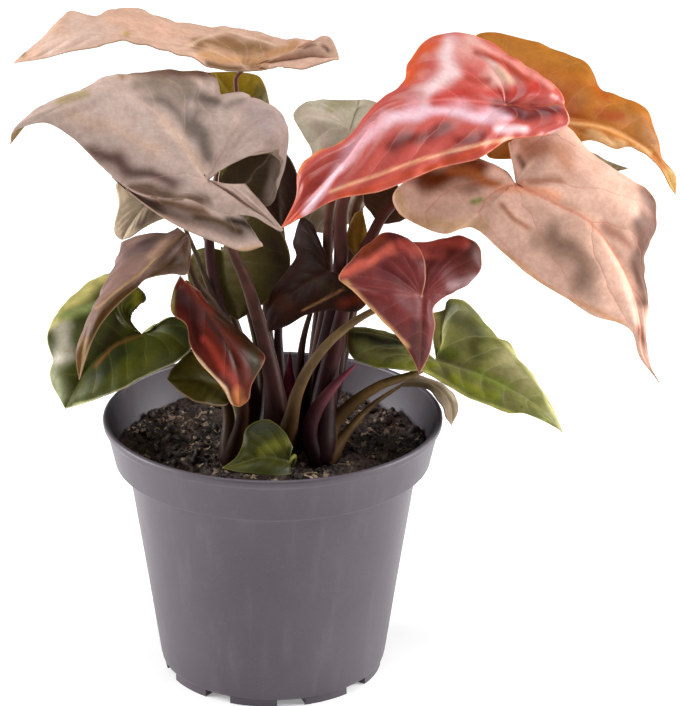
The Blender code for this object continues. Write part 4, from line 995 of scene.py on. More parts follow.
# Salmon leaf at the right
# The largest leaf, salmon pink with a fine red-brown rib that bends down into a long tip.
# Its near lobe is tan on top and cream at the edge.
blade(
    "salmon_right", face=(0.2, -0.9, 0.4), bulge=2.5,
    rib=[(516, 184, -8), (555, 203, -15), (590, 222, -18), (615, 255, -18), (632, 290, -17),
         (640, 322, -15), (643, 352, -13), (660, 383, -10)],
    left=[(0, (512, 165, -2), (508, 143, 4)), (0, (535, 125, 8)), (0, (566, 126, 8)),
          (0.04, (595, 155, 4)), (0.12, (630, 178, 1)), (0.25, (654, 195, 0)), (0.38, (658, 222, -3)),
          (0.48, (648, 247, -8)), (0.56, (645, 272, -11)), (0.68, (649, 300, -12)),
          (0.82, (647, 336, -12)), (0.92, (651, 366, -11))],
    right=[(0, (505, 170, -4), (475, 157, -2)), (0, (440, 165, -4)), (0, (396, 190, -10)),
           (0, (398, 212, -14)), (0, (420, 226, -17)), (0, (445, 234, -18)), (0, (473, 228, -17)),
           (0.04, (500, 250, -20)), (0.15, (530, 276, -22)), (0.28, (560, 294, -23)),
           (0.42, (592, 315, -23)), (0.56, (620, 324, -20)), (0.72, (633, 334, -16)),
           (0.88, (640, 358, -13))],
    colour=tone(214, 172, 153), under=tone(170, 124, 98),
    marks=[(tone(96, 44, 6), 28, [(424, 176), (470, 172)]),
           (tone(160, 92, 52), 11, [(456, 170), (494, 184)]),
           (tone(194, 154, 118), 12, [(412, 216), (446, 230), (480, 226)]),
           (tone(140, 140, 84), 6, [(472, 202), (480, 199)]),
           (tone(196, 160, 116), 6, [(397, 194), (402, 212)]),
           (tone(178, 126, 102), 22, [(530, 150), (572, 158)]),
           (tone(120, 78, 60), 7, [(518, 158), (522, 166)]),
           (tone(166, 116, 94), 7, [(532, 182), (560, 180)]),
           (tone(228, 158, 126), 11, [(500, 190), (520, 188), (556, 198)]),
           # Painted shade: the dark marks along the right margin and the one right of the rib are shade,
           # painted on the skin.
           (tone(92, 62, 48), 15, [(640, 224), (638, 250), (637, 276)]),
           (tone(96, 64, 50), 17, [(650, 188), (652, 222), (641, 262), (643, 300)]),
           (tone(160, 114, 98), 9, [(606, 226), (628, 246)]),
           (tone(184, 140, 124), 9, [(572, 258), (590, 262)]),
           (tone(142, 112, 96), 24, [(555, 235), (592, 275)]),
           (tone(206, 152, 112), 4, [(500, 250), (560, 294), (622, 322)]),
           (tone(164, 112, 86), 5, [(500, 206), (512, 219), (530, 227)]),
           (tone(140, 98, 80), 8, [(641, 330), (658, 382)]),
           (tone(222, 172, 148), 7, [(560, 204), (592, 222), (614, 252), (630, 288)])],
    vein=tone(196, 112, 84), vein_share=0.5, halo=0.04, hem=tone(190, 140, 100), veins=3.4, sweep=0.4,
    pillow=0.6, relief=0.5, crumple=1.2)


# Small leaf behind on the right
# A small grey-green leaf whose tip shows behind the salmon one.
# A long petiole of the rear right shoot carries it.
blade(
    "small_rear", face=(0.1, -0.5, 0.85), bulge=2.0,
    rib=[(560, 180, 34), (600, 170, 30), (628, 168, 28)],
    left=[(0, (555, 155, 44)), (0.3, (585, 150, 40)), (0.7, (608, 161, 33))],
    right=[(0, (560, 200, 28)), (0.3, (585, 195, 26)), (0.7, (610, 174, 27))],
    colour=tone(150, 148, 124), under=tone(120, 116, 92))


# Red leaf in the centre
# A small wine-red leaf with a bright ridge, a mauve bloom and a beige margin.
# It hangs tip down from a petiole of the front shoot.
blade(
    "red_centre", face=(-0.1, -0.9, 0.4), bulge=2.0,
    rib=[(422, 297, -27), (421, 322, -31), (420, 348, -31), (419, 375, -28)],
    left=[(0, (424, 280, -20), (414, 262, -12), (402, 242, -7)), (0, (437, 239, -7)), (0, (463, 237, -6)),
          (0, (479, 249, -6)), (0, (480, 268, -9)), (0, (468, 284, -14)), (0, (447, 296, -21)),
          (0.12, (434, 308, -26)), (0.4, (435, 328, -28)), (0.75, (430, 354, -29))],
    right=[(0, (426, 276, -24), (421, 254, -19), (408, 238, -12)),
           (0, (404, 260, -24), (392, 247, -21), (387, 233, -12)),
           (0, (385, 270, -28), (366, 258, -27), (360, 250, -19)), (0, (339, 276, -34)),
           (0, (352, 290, -34)), (0.08, (366, 304, -34)), (0.3, (383, 322, -33)), (0.55, (400, 340, -32)),
           (0.8, (412, 358, -30))],
    colour=tone(106, 46, 45), under=tone(150, 110, 80),
    marks=[(tone(224, 110, 92), 10, [(343, 275), (366, 262), (392, 250)]),
           (tone(196, 88, 78), 9, [(404, 246), (440, 244), (466, 244)]),
           (tone(84, 28, 32), 14, [(388, 274), (402, 280)]),
           (tone(216, 160, 112), 5, [(346, 283), (366, 304), (386, 324), (408, 346)]),
           (tone(70, 34, 30), 15, [(418, 322), (420, 355)]),
           (tone(88, 36, 18), 13, [(474, 248), (468, 264)]),
           (tone(160, 124, 126), 8, [(452, 286), (474, 276)]),
           (tone(130, 66, 64), 2.5, [(352, 286), (386, 296), (420, 295)]),
           (tone(186, 90, 80), 10, [(415, 252), (440, 254)]),
           (tone(110, 44, 48), 8, [(428, 266), (440, 277)]),
           (tone(130, 60, 34), 10, [(362, 252), (385, 236)]),
           (tone(110, 62, 64), 9, [(400, 300), (414, 312)])],
    vein=tone(160, 90, 84), roughness=0.42, coat=0.04, hem=tone(200, 150, 110), veins=5.0, vein_share=0.15,
    pillow=0.15, crumple=1.2)


# Green leaf at the right
# A green leaf reaching out over the rim, blotched in bright and grey green, with pale margins.
# A petiole of the right shoot carries it.
blade(
    "green_right", face=(0.1, -0.5, 0.8), bulge=2.0,
    rib=[(436, 360, 2), (480, 375, -4), (520, 395, -9), (545, 413, -12), (563, 432, -12)],
    left=[(0, (433, 340, 7), (430, 313, 13)), (0, (445, 309, 15)), (0, (449, 299, 18)),
          (0, (463, 301, 21)), (0.05, (478, 315, 20)), (0.2, (497, 336, 17)), (0.32, (508, 342, 16)),
          (0.45, (521, 360, 10)), (0.6, (532, 373, 6)), (0.75, (543, 392, -1)), (0.9, (556, 415, -8))],
    right=[(0, (415, 342, 3), (385, 331, 3)), (0, (362, 327, 3)), (0, (348, 330, 2)), (0, (350, 354, -1)),
           (0, (372, 365, -6)), (0, (400, 370, -9)), (0, (425, 372, -7)), (0.25, (448, 386, -9)),
           (0.4, (468, 398, -11)), (0.55, (488, 405, -13)), (0.7, (508, 413, -15)),
           (0.82, (525, 414, -15)), (0.93, (545, 422, -14))],
    colour=tone(124, 124, 70), under=tone(120, 124, 70),
    marks=[(tone(70, 70, 32), 24, [(456, 305), (478, 345)]),
           (tone(116, 132, 40), 10, [(478, 374), (508, 386)]),
           (tone(100, 116, 40), 9, [(438, 348), (452, 356)]),
           (tone(140, 146, 44), 9, [(452, 380), (494, 397)]),
           (tone(154, 148, 106), 16, [(505, 356), (526, 382)]),
           (tone(190, 188, 100), 4, [(428, 372), (470, 398), (510, 413), (545, 421)]),
           (tone(196, 188, 128), 4, [(500, 336), (522, 360), (544, 392), (563, 430)]),
           (tone(34, 32, 16), 16, [(355, 335), (405, 342)]),
           (tone(122, 128, 34), 7, [(372, 360), (400, 364), (432, 366)]),
           (tone(120, 116, 80), 2, [(365, 347), (402, 348)]),
           (tone(166, 160, 88), 9, [(438, 315), (440, 345)]), (tone(92, 70, 40), 2.5, [(522, 406)]),
           (tone(84, 62, 24), 9, [(346, 332), (350, 352)])],
    under_marks=[(tone(60, 60, 36), 40, [(370, 340), (400, 340)])],
    vein=tone(176, 180, 130), vein_share=0.2, pillow=0.3, hem=tone(186, 180, 120), mottle=0.5,
    blotch=tone(170, 190, 150))


# Leaf bent over the rim
# A narrow grey-olive young leaf that bends down over the pot's rim.
# A short petiole of the right shoot carries it.
blade(
    "over_rim", face=(0.5, -0.4, 0.8), bulge=1.0,
    rib=[(405, 381, 10), (427, 382, 10), (444, 394, 9), (451, 408, 8), (452, 425, 6)],
    left=[(0, (399, 377, 14)), (0, (417, 374, 16)), (0.25, (437, 380, 15)), (0.5, (454, 394, 13)),
          (0.75, (458, 410, 10))],
    right=[(0, (403, 386, 8)), (0.1, (417, 386, 6)), (0.35, (431, 390, 3)), (0.6, (441, 404, 2)),
           (0.8, (447, 418, 3))],
    colour=tone(114, 98, 76), under=tone(116, 104, 80),
    marks=[(tone(158, 142, 120), 4, [(417, 376), (440, 384), (456, 398)])],
    vein=tone(140, 126, 100), approach=0.4)


# Green leaf at the left
# A green leaf at the left with pale yellow margins, silver bands and a brown rib.
# It is folded along the rib, so its near half faces up and its far half faces the viewer.
blade(
    "green_left", face=(-0.3, -0.5, 0.8), bulge=2.0,
    rib=[(142, 334, -15), (115, 345, -18), (92, 365, -24), (75, 390, -28), (65, 409, -29)],
    left=[(0, (152, 330, -17), (161, 322, -18)), (0, (176, 317, -18)), (0, (194, 326, -21)),
          (0, (191, 347, -27)), (0, (178, 360, -32)), (0.1, (158, 370, -35)), (0.28, (138, 380, -37)),
          (0.48, (119, 391, -38)), (0.7, (92, 401, -36)), (0.87, (76, 406, -32))],
    right=[(0, (133, 325, -12), (130, 312, -8)), (0, (129, 322, -12), (127, 309, -6.5), (146, 300, -4)),
           (0, (126, 321, -12), (122, 304, -4), (138, 287, 2)),
           (0, (121, 320, -11), (114, 300, -1), (109, 274, 9)), (0.12, (89, 282, 8)), (0.25, (71, 296, 3)),
           (0.38, (58, 310, -4)), (0.5, (49, 328, -10)), (0.6, (48, 343, -15)), (0.7, (53, 361, -19)),
           (0.8, (50, 375, -23)), (0.9, (57, 393, -26))],
    colour=tone(58, 62, 4), under=tone(130, 130, 70),
    marks=[(tone(186, 176, 108), 15, [(106, 277), (78, 298), (56, 322)]),
           (tone(166, 158, 142), 15, [(66, 330), (62, 362)]),
           (tone(130, 140, 84), 9, [(98, 304), (84, 310), (62, 316)]),
           (tone(146, 148, 116), 15, [(60, 376), (62, 398)]),
           # Painted shade: the darkest mark on the near half is the shade it lies in, over its own dark
           # green.
           (tone(34, 40, 0), 20, [(118, 352), (92, 372)]),
           (tone(96, 64, 30), 3, [(142, 334), (115, 345), (94, 366)]),
           (tone(66, 68, 2), 14, [(112, 380), (150, 362), (176, 346)]),
           (tone(40, 44, 6), 11, [(170, 326), (186, 333)]),
           (tone(176, 172, 126), 4, [(76, 406), (105, 400), (130, 388)]),
           (tone(112, 108, 30), 9, [(140, 292), (138, 304)]),
           (tone(46, 38, 12), 13, [(120, 320), (104, 342)])],
    vein=tone(110, 100, 40), vein_share=0.15, roughness=0.5, coat=0.0, hem=tone(186, 178, 134),
    hem_share=0.6, mottle=0.3, blotch=tone(150, 170, 120), pillow=0.15)


# Mauve leaf at the left
# A narrow leaf that arches over the green one, mauve on its far half and olive-brown on its near half.
# It hangs tip down from a petiole of the left shoot.
blade(
    "mauve_left", face=(-0.5, -0.4, 0.8), bulge=1.5,
    rib=[(185, 233, -16), (160, 254, -24), (140, 275, -30), (115, 293, -36), (95, 315, -40),
         (84, 345, -44), (79, 380, -46)],
    left=[(0, (190, 241, -17), (191, 254, -18)), (0, (188, 274, -22)), (0.08, (172, 274, -26)),
          (0.22, (147, 279, -31)), (0.35, (136, 289, -34)), (0.5, (121, 302, -38)),
          (0.65, (103, 322, -42)), (0.8, (92, 341, -45)), (0.92, (84, 362, -47))],
    right=[(0, (177, 227, -10)), (0, (150, 242, -5)), (0, (130, 242, 0)), (0.05, (121, 244, 2)),
           (0.28, (115, 265, -6)), (0.45, (105, 286, -18)), (0.58, (95, 304, -30)), (0.7, (85, 324, -37)),
           (0.84, (77, 347, -43)), (0.93, (76, 363, -45))],
    colour=tone(118, 92, 84), under=tone(100, 76, 46),
    marks=[(tone(92, 72, 70), 13, [(150, 246), (128, 250)]),
           (tone(68, 44, 8), 15, [(176, 262), (142, 284), (106, 314), (90, 340), (82, 362)]),
           (tone(146, 116, 78), 2.5, [(178, 238), (148, 266), (115, 293), (96, 308)]),
           (tone(92, 62, 42), 8, [(186, 264), (186, 248)]), (tone(112, 84, 46), 7, [(84, 340), (80, 372)]),
           (tone(150, 120, 100), 8, [(168, 240), (150, 258)])],
    vein=tone(146, 118, 96), vein_share=0.2, groove=0.5)


# Grey leaf at the left
# A small green-grey leaf that hangs behind the great leaf's edge.
# A petiole of the rear left shoot carries it.
blade(
    "grey_left", face=(-0.3, -0.8, 0.5), bulge=1.0,
    rib=[(165, 190, -4), (145, 205, -8), (130, 225, -11), (122, 240, -12)],
    left=[(0, (178, 200, -8)), (0, (180, 213, -10)), (0.1, (160, 220, -12)), (0.4, (142, 229, -13)),
          (0.7, (131, 237, -13))],
    right=[(0, (150, 176, 0)), (0, (128, 178, -2)), (0, (116, 184, -3)), (0.3, (119, 205, -7)),
           (0.6, (114, 228, -10)), (0.85, (117, 237, -11))],
    colour=tone(186, 166, 140), under=tone(110, 100, 76),
    marks=[(tone(190, 170, 144), 10, [(128, 212), (126, 232)]),
           (tone(110, 92, 78), 12, [(160, 208), (142, 220)])],
    vein=tone(160, 148, 124))


# Red leaf at the left
# A dark red leaf hanging in front of the stalks, with pink-red highlights painted on its swellings and a
# peach margin.
# Its right lobe runs from brown-red to olive green.
blade(
    "red_left", face=(-0.1, -0.9, 0.4), bulge=1.5,
    rib=[(186, 282, -30), (207, 312, -35), (228, 345, -40), (238, 375, -42), (240, 407, -40)],
    left=[(0, (200, 291, -28)), (0, (208, 306, -28)), (0.1, (220, 318, -28)), (0.22, (241, 331, -28)),
          (0.33, (257, 345, -29)), (0.43, (265, 355, -31)), (0.55, (262, 366, -35)),
          (0.7, (254, 383, -39)), (0.88, (250, 399, -40))],
    right=[(0, (180, 275, -29)), (0, (173, 292, -32)), (0, (172, 313, -36)), (0.1, (186, 325, -39)),
           (0.25, (190, 345, -42)), (0.4, (200, 363, -44)), (0.55, (216, 380, -45)),
           (0.75, (226, 394, -44)), (0.9, (232, 405, -42))],
    colour=tone(84, 28, 14), under=tone(110, 70, 40),
    marks=[(tone(46, 10, 4), 16, [(184, 296), (204, 340)]),
           # Painted highlight: this pink-red mark is the light on the swellings.
           (tone(134, 50, 38), 8, [(206, 340), (222, 362), (236, 388)]),
           (tone(44, 26, 4), 17, [(224, 318), (248, 346), (256, 362)]),
           (tone(48, 40, 6), 10, [(252, 352), (258, 364)]),
           (tone(228, 188, 150), 3, [(190, 350), (206, 368), (225, 388), (232, 405)]),
           (tone(180, 110, 66), 9, [(240, 403), (236, 392)]),
           (tone(124, 112, 48), 5, [(174, 290), (173, 312)]),
           # Painted shadow: this thin black line is the shadow in the crease between the main face and the
           # right lobe.
           (tone(44, 16, 10), 4, [(204, 312), (226, 344), (238, 366)])],
    vein=tone(110, 44, 30), vein_share=0.12, roughness=0.44, coat=0.05, pillow=0.15, veins=4.0,
    crumple=1.8, hem=tone(200, 150, 110), hem_share=0.3)


# Dark leaf at the left
# A small dark olive leaf in the shade below the red one.
# A short petiole of the left shoot carries it.
blade(
    "dark_left", face=(0.0, -0.6, 0.8), bulge=1.0,
    rib=[(226, 388, -22), (200, 380, -27), (167, 379, -32)],
    left=[(0, (232, 398, -27)), (0.05, (226, 405, -31)), (0.35, (210, 405, -35)), (0.6, (195, 401, -37)),
          (0.85, (180, 392, -36))],
    right=[(0, (222, 370, -14)), (0, (205, 356, -14)), (0.25, (191, 350, -18)), (0.55, (180, 360, -24)),
           (0.8, (171, 370, -29))],
    colour=tone(64, 58, 8), under=tone(50, 46, 16), vein=tone(90, 84, 36), vein_share=0.2)


# Leaf on the soil
# A young yellow-green leaf that stands on the soil at the front.
# A short petiole of the front shoot carries it.
blade(
    "on_soil", face=(0.0, -0.7, 0.7), bulge=1.5,
    rib=[(289, 462, -45), (265, 457, -47), (242, 463, -50), (222, 468, -51)],
    left=[(0, (292, 474, -48)), (0.1, (279, 476, -51)), (0.4, (255, 474, -53)), (0.75, (238, 472, -53))],
    right=[(0, (293, 447, -43)), (0, (284, 431, -40)), (0.08, (270, 420, -38)), (0.2, (257, 421, -39)),
           (0.38, (246, 429, -41)), (0.55, (242, 445, -44)), (0.78, (236, 457, -48))],
    colour=tone(48, 50, 4), under=tone(70, 76, 24),
    marks=[(tone(88, 90, 26), 9, [(262, 452), (284, 440)]),
           (tone(34, 36, 2), 10, [(250, 428), (274, 424)]),
           (tone(66, 64, 20), 9, [(230, 464), (244, 466)])],
    vein=tone(84, 84, 30), vein_share=0.15, pillow=0.15, hem=tone(120, 116, 60), hem_share=0.3)


# Brown leaf in the centre
# A dark brown-red leaf among the stalks.
# It hangs tip down from a petiole of the rear right shoot.
blade(
    "brown_centre", face=(-0.1, -0.7, 0.7), bulge=1.5,
    rib=[(330, 272, -8), (305, 285, -13), (282, 305, -18), (268, 332, -23)],
    left=[(0, (346, 276, -10)), (0, (368, 297, -12)), (0, (356, 312, -14)), (0.15, (330, 310, -17)),
          (0.4, (306, 315, -20)), (0.7, (287, 326, -22))],
    right=[(0, (322, 262, -3), (314, 248, 1)), (0, (314, 227, 5)), (0, (301, 218, 6)), (0, (293, 243, 2)),
           (0.1, (296, 256, -3)), (0.3, (286, 270, -7)), (0.5, (272, 289, -11)), (0.75, (266, 312, -17))],
    colour=tone(42, 20, 8), under=tone(84, 60, 36),
    marks=[(tone(60, 28, 12), 12, [(290, 312), (280, 300)]),
           (tone(30, 16, 8), 14, [(306, 240), (312, 262)]),
           (tone(96, 36, 14), 10, [(340, 302), (360, 300)]),
           (tone(44, 34, 12), 10, [(315, 280), (330, 290)]),
           (tone(140, 100, 66), 1.8, [(303, 311), (344, 288)])],
    vein=tone(70, 40, 24), vein_share=0.2, pillow=0.3, coat=0.0, roughness=0.55, hem=tone(70, 42, 24),
    hem_share=0.3)


# Olive leaf among the stalks
# A dark olive leaf seen between the stalks.
# It hangs tip down from a petiole of the rear left shoot.
blade(
    "olive_stems", face=(0.0, -0.9, 0.4), bulge=2.0,
    rib=[(222, 250, 14), (224, 280, 11), (238, 320, 8)],
    left=[(0, (236, 214, 14)), (0, (266, 210, 9)), (0.15, (288, 247, 6)), (0.5, (287, 278, 5)),
          (0.75, (262, 305, 7))],
    right=[(0, (208, 247, 17)), (0, (192, 255, 15)), (0.4, (188, 280, 12)), (0.7, (204, 304, 9))],
    colour=tone(76, 66, 28), under=tone(60, 54, 30),
    marks=[(tone(96, 92, 52), 9, [(205, 258), (215, 275)]),
           (tone(52, 36, 20), 20, [(275, 240), (280, 280)])],
    vein=tone(96, 90, 50), vein_share=0.2, coat=0.0, roughness=0.55)


# Dark leaf at the back
# A dark brown leaf in the shade behind the great leaf's lobe.
# It hangs tip down from a petiole of the rear left shoot.
blade(
    "dark_back", face=(0.2, -0.9, 0.3), bulge=2.0,
    rib=[(268, 150, 32), (276, 185, 28), (280, 228, 22)],
    left=[(0, (278, 146, 34)), (0.1, (290, 158, 31)), (0.35, (298, 178, 28)), (0.65, (296, 203, 25)),
          (0.85, (288, 220, 23))],
    right=[(0, (254, 150, 34)), (0.2, (250, 175, 30)), (0.6, (262, 205, 26))],
    colour=tone(52, 34, 24), under=tone(50, 38, 30), vein=tone(76, 56, 42), vein_share=0.2, coat=0.0,
    roughness=0.55)


# Olive-gold sliver
# The edge of a young leaf, olive-gold, between the pink leaf and the red one.
# A petiole of the rear right shoot carries it.
blade(
    "olive_sliver", face=(0.0, -0.9, 0.4), bulge=2.0,
    rib=[(362, 210, 6), (357, 238, 2), (361, 263, 0)],
    left=[(0.1, (364, 216, 5)), (0.4, (368, 238, 3)), (0.8, (366, 252, 1))],
    right=[(0, (355, 213, 6)), (0.2, (349, 226, 4)), (0.5, (346, 241, 2)), (0.8, (352, 253, 0))],
    colour=tone(118, 84, 26), under=tone(100, 74, 30), vein=tone(140, 106, 46), vein_share=0.3, coat=0.0)


# Leaf behind on the left
# A leaf that faces the back, like the others of its age: olive-beige.
# A petiole of the rear left shoot carries it.
blade(
    "rear_left", face=(-0.3, 0.4, 0.9), bulge=2.0,
    rib=[(168, 130, 38), (150, 115, 50), (130, 120, 60), (105, 130, 66)],
    left=[(0, (172, 150, 22)), (0.1, (150, 158, 24)), (0.4, (125, 150, 38)), (0.75, (110, 138, 54))],
    right=[(0, (200, 110, 46)), (0.1, (190, 92, 56)), (0.4, (160, 88, 64)), (0.75, (125, 105, 66))],
    colour=tone(150, 136, 104), under=tone(120, 106, 76),
    marks=[(tone(176, 148, 130), 22, [(130, 110), (160, 100)])])


# Leaf behind on the right
# A leaf that faces the back, salmon to tan.
# A petiole of the rear right shoot carries it.
blade(
    "rear_right", face=(0.3, 0.4, 0.9), bulge=2.0,
    rib=[(440, 90, 40), (465, 80, 54), (500, 85, 64), (535, 105, 70)],
    left=[(0, (430, 70, 52)), (0.1, (445, 58, 62)), (0.4, (475, 62, 70)), (0.75, (510, 80, 72))],
    right=[(0, (448, 104, 28)), (0.1, (465, 112, 28)), (0.4, (500, 110, 44)), (0.75, (525, 110, 60))],
    colour=tone(186, 126, 92), under=tone(150, 100, 72),
    marks=[(tone(196, 100, 80), 22, [(470, 90), (500, 95)])])


# Dark leaf behind the salmon one
# A leaf between the stalks, behind the lobe of the salmon leaf, painted dark brown for the shade it lies
# in.
# A petiole of the rear right shoot carries it.
blade(
    "rear_low", face=(0.1, -0.9, 0.4), bulge=1.0,
    rib=[(378, 223, 4.5), (387, 205, 4.5), (397, 184, 5)],
    left=[(0, (371, 212, 5)), (0.3, (364, 203, 5)), (0.6, (364, 189, 5)), (0.8, (378, 183, 5))],
    right=[(0, (388, 224, 5)), (0.1, (405, 219, 5)), (0.4, (407, 207, 5)), (0.7, (403, 194, 5))],
    # Painted shade: the dark brown colour stands for the shade between the stalks.
    colour=tone(70, 42, 20), under=tone(60, 40, 24), vein=tone(90, 60, 36), vein_share=0.2, coat=0.0,
    roughness=0.55)


# Stalks at the left
# The left shoot: a short stem with four petioles, olive above and dark purple at the foot, darkened further
# there by painted shade of the crown.
# Each petiole has a wide sheath at its foot and runs on under its blade as the midrib.
STALK_SIDES = 14
SOIL_SINK = 14.0
STEM_RADIUS = 4.0
STEM_RISE = 1.5
SHEATH = ((0.0, 1.5), (0.05, 1.9), (0.13, 1.75), (0.22, 1.2), (0.32, 0.95))
STAND_OFF = 0.3
APPROACH = 3.5
MIDRIB_SHARES = (0.06, 0.14, 0.24)
MIDRIB_END = 0.3
STALK_STEP = 1.6
FEWEST_RINGS = 10
ROUNDED_END = 0.75
RADIUS_STEPS = 40
PETIOLE_CHANNEL = 0.18
SPEAR_CHANNEL = 0.1
CHANNEL_WIDTH = 0.7
STALK_WELD = 0.005

stalk_skin = Finish("stalk_skin", 0.5, 0.0, 0.3, 0.14)
ground = stalk_skin.kept("tint")
wrap = stalk_skin.kept("grain", 1)
spot = stalk_skin.place()
streak_place = stalk_skin.node("ShaderNodeMapping", None, {"Vector": wrap, "Scale": (9.0, 0.06, 9.0)})
streak = stalk_skin.noise(streak_place, 1.0, 3.0)
blotch = stalk_skin.noise(spot, 160.0, 4.0)
fine = stalk_skin.noise(spot, 1200.0, 3.0)
shade = stalk_skin.mix(streak.step(0.4, 0.7) * 0.35, ground, tone(150, 130, 110), "SOFT_LIGHT")
shade = stalk_skin.mix(blotch.step(0.4, 0.65) * 0.4, shade, tone(150, 140, 140), "MULTIPLY")
stalk_skin.feed("Base Color", shade)
stalk_skin.feed("Roughness", fine * 0.2 + blotch * 0.15 + 0.32)
stalk_skin.bump(streak + fine * 0.2, 0.5, 0.0003)


def stalk(net, knots, radii, tones, channel=0.0):
    """A round stalk along a smooth curve, closed at both ends, with a channel along one side."""
    length = line_length(np.array(knots))
    steps = int(max(FEWEST_RINGS, length / STALK_STEP))
    shares = np.linspace(0, 1, steps + 1)
    middle = along(knots, shares)
    heading = np.gradient(middle, axis=0)
    heading /= np.linalg.norm(heading, axis=1, keepdims=True)
    side = unit(np.cross(heading[0], (0.3, 1.0, 0.1)))
    places, wraps = [], []
    size = np.interp(shares, np.linspace(0, 1, len(radii)), radii)
    size[0] = size[-1] = 0.0
    size[1] *= ROUNDED_END
    size[-2] *= ROUNDED_END
    angles = np.linspace(0, 2 * pi, STALK_SIDES + 1)
    for index in range(steps + 1):
        side = unit(side - heading[index] * (side @ heading[index]))
        other = np.cross(heading[index], side)
        dent = 1 - channel * np.exp(-(np.minimum(angles, 2 * pi - angles) / CHANNEL_WIDTH) ** 2)
        ring = (np.cos(angles) * dent)[:, None] * side + (np.sin(angles) * dent)[:, None] * other
        places.append(middle[index] + ring * size[index])
        wraps.append([(angle / (2 * pi), shares[index] * length, 0.0) for angle in angles])
    places = np.array(places)
    tint = np.array([[np.interp(share, np.linspace(0, 1, len(tones)), [colour[part] for colour in tones])
                      for part in range(4)] for share in shares])
    tint = np.repeat(tint[:, None, :], STALK_SIDES + 1, axis=1)
    layers = [net.verts.layers.float_vector["grain"], net.verts.layers.float_color["tint"]]
    lay_sheet(net, places, layers, [np.array(wraps), tint], False)


def shoot(name, foot, petioles, spears=()):
    """A short stem in the soil with its petioles, each running on under its blade as the midrib.

    A petiole is its leaf, its radii at the foot and at the top, its way up, and its tones from the
    foot on. A spear is a leaf still rolled up: its radius, its way up and its tones. The dark tones
    at the feet are partly the stalks' own purple and partly painted shade of the crown.
    """
    net = bmesh.new()
    net.verts.layers.float_vector.new("grain")
    net.verts.layers.float_color.new("tint")
    base = np.array((*foot, SOIL_LEVEL))
    stem = [base + (0, 0, -SOIL_SINK), base, base + (0, 0, STEM_RISE), base + (0, 0, 2 * STEM_RISE)]
    dark = tone(40, 22, 22)
    stalk(net, stem, (STEM_RADIUS, STEM_RADIUS, STEM_RADIUS * 0.9, STEM_RADIUS * 0.5), (dark, dark))
    start = base + (0, 0, -0.5 * STEM_RISE)
    for leaf_name, foot_radius, top_radius, way, *tones in petioles:
        leaf = blades[leaf_name]
        rib = np.array([sight(point) for point in leaf["rib"]])
        ahead = unit(rib[1] - rib[0])
        face = unit(unit(leaf["face"]) - ahead * (unit(leaf["face"]) @ ahead))
        stop = rib[0] - face * (STAND_OFF + 0.5 * top_radius)
        below = stop - face * leaf.get("approach", APPROACH)
        depths = np.array([[top_radius * 0.8], [top_radius * 0.7], [0.4]])
        under = along(rib, MIDRIB_SHARES) - face * depths
        knots = [start] + [sight(point) for point in way] + [below, stop] + list(under)
        count = len(knots)
        stations = [share for share, wide in SHEATH] + [(count - 4) / (count - 1), 1]
        widths = [foot_radius * wide for share, wide in SHEATH] + [top_radius, MIDRIB_END]
        radii = np.interp(np.linspace(0, 1, RADIUS_STEPS), stations, widths)
        stalk(net, knots, radii, tones, PETIOLE_CHANNEL)
    for foot_radius, way, *tones in spears:
        knots = [start] + [sight(point) for point in way]
        radii = (foot_radius, foot_radius, foot_radius * 0.7, 0.3)
        stalk(net, knots, radii, tones, SPEAR_CHANNEL)
    bmesh.ops.remove_doubles(net, verts=net.verts, dist=STALK_WELD * MM)
    bmesh.ops.recalc_face_normals(net, faces=net.faces)
    piece_from(net, "stalks_" + name, [stalk_skin.material], "shoot_" + name, "petiole_skin")


shoot("left", (-15.0, -21.0), [
    ("green_left", 2.2, 1.1, [(228, 410, -14), (208, 365, -4), (172, 345, -3), (150, 338, -8)],
     tone(44, 28, 26), tone(84, 62, 40), tone(110, 84, 48)),
    ("mauve_left", 2.2, 1.1, [(243, 390, -12), (232, 338, -12), (215, 307, -17), (197, 283, -18),
        (187, 258, -14), (180, 241, -12)],
     tone(44, 24, 26), tone(80, 60, 50), tone(112, 88, 66)),
    ("red_left", 2.0, 1.0, [(243, 405, -28), (226, 350, -31), (206, 306, -22), (192, 288, -20)],
     tone(40, 20, 14), tone(58, 34, 20), tone(120, 66, 44)),
    ("dark_left", 1.8, 1.0, [(239, 428, -22), (234, 402, -17), (228, 391, -16)],
     tone(70, 62, 34), tone(96, 88, 44), tone(90, 84, 36))])


# Stalks at the front
# The front shoot, with the great leaf's thick brown-purple petiole and the red leaf's olive one.
# It also has the petiole of the leaf on the soil, and a leaf that is still rolled up.
shoot("front", (2.0, -13.0), [
    ("great_left", 3.0, 1.4, [(275, 400, -16), (265, 345, -14), (255, 310, -13), (245, 280, -11),
        (232, 250, -9), (217, 208, -10)],
     tone(34, 16, 20), tone(64, 36, 32), tone(94, 62, 54), tone(92, 64, 58), tone(120, 92, 80)),
    ("red_centre", 2.4, 1.2, [(290, 420, -22), (297, 392, -24), (311, 364, -24), (335, 336, -24),
        (368, 313, -20), (398, 303, -16)],
     tone(44, 24, 22), tone(84, 62, 38), tone(112, 90, 60), tone(120, 98, 68), tone(130, 84, 70)),
    ("on_soil", 1.6, 0.9, [(291, 463, -30), (294, 456, -38)],
     tone(66, 60, 30), tone(110, 114, 46))], [
    (4.6, [(294, 440, -8), (300, 400, -6), (313, 352, -3)],
     tone(24, 12, 12), tone(36, 18, 20), tone(46, 26, 26))])


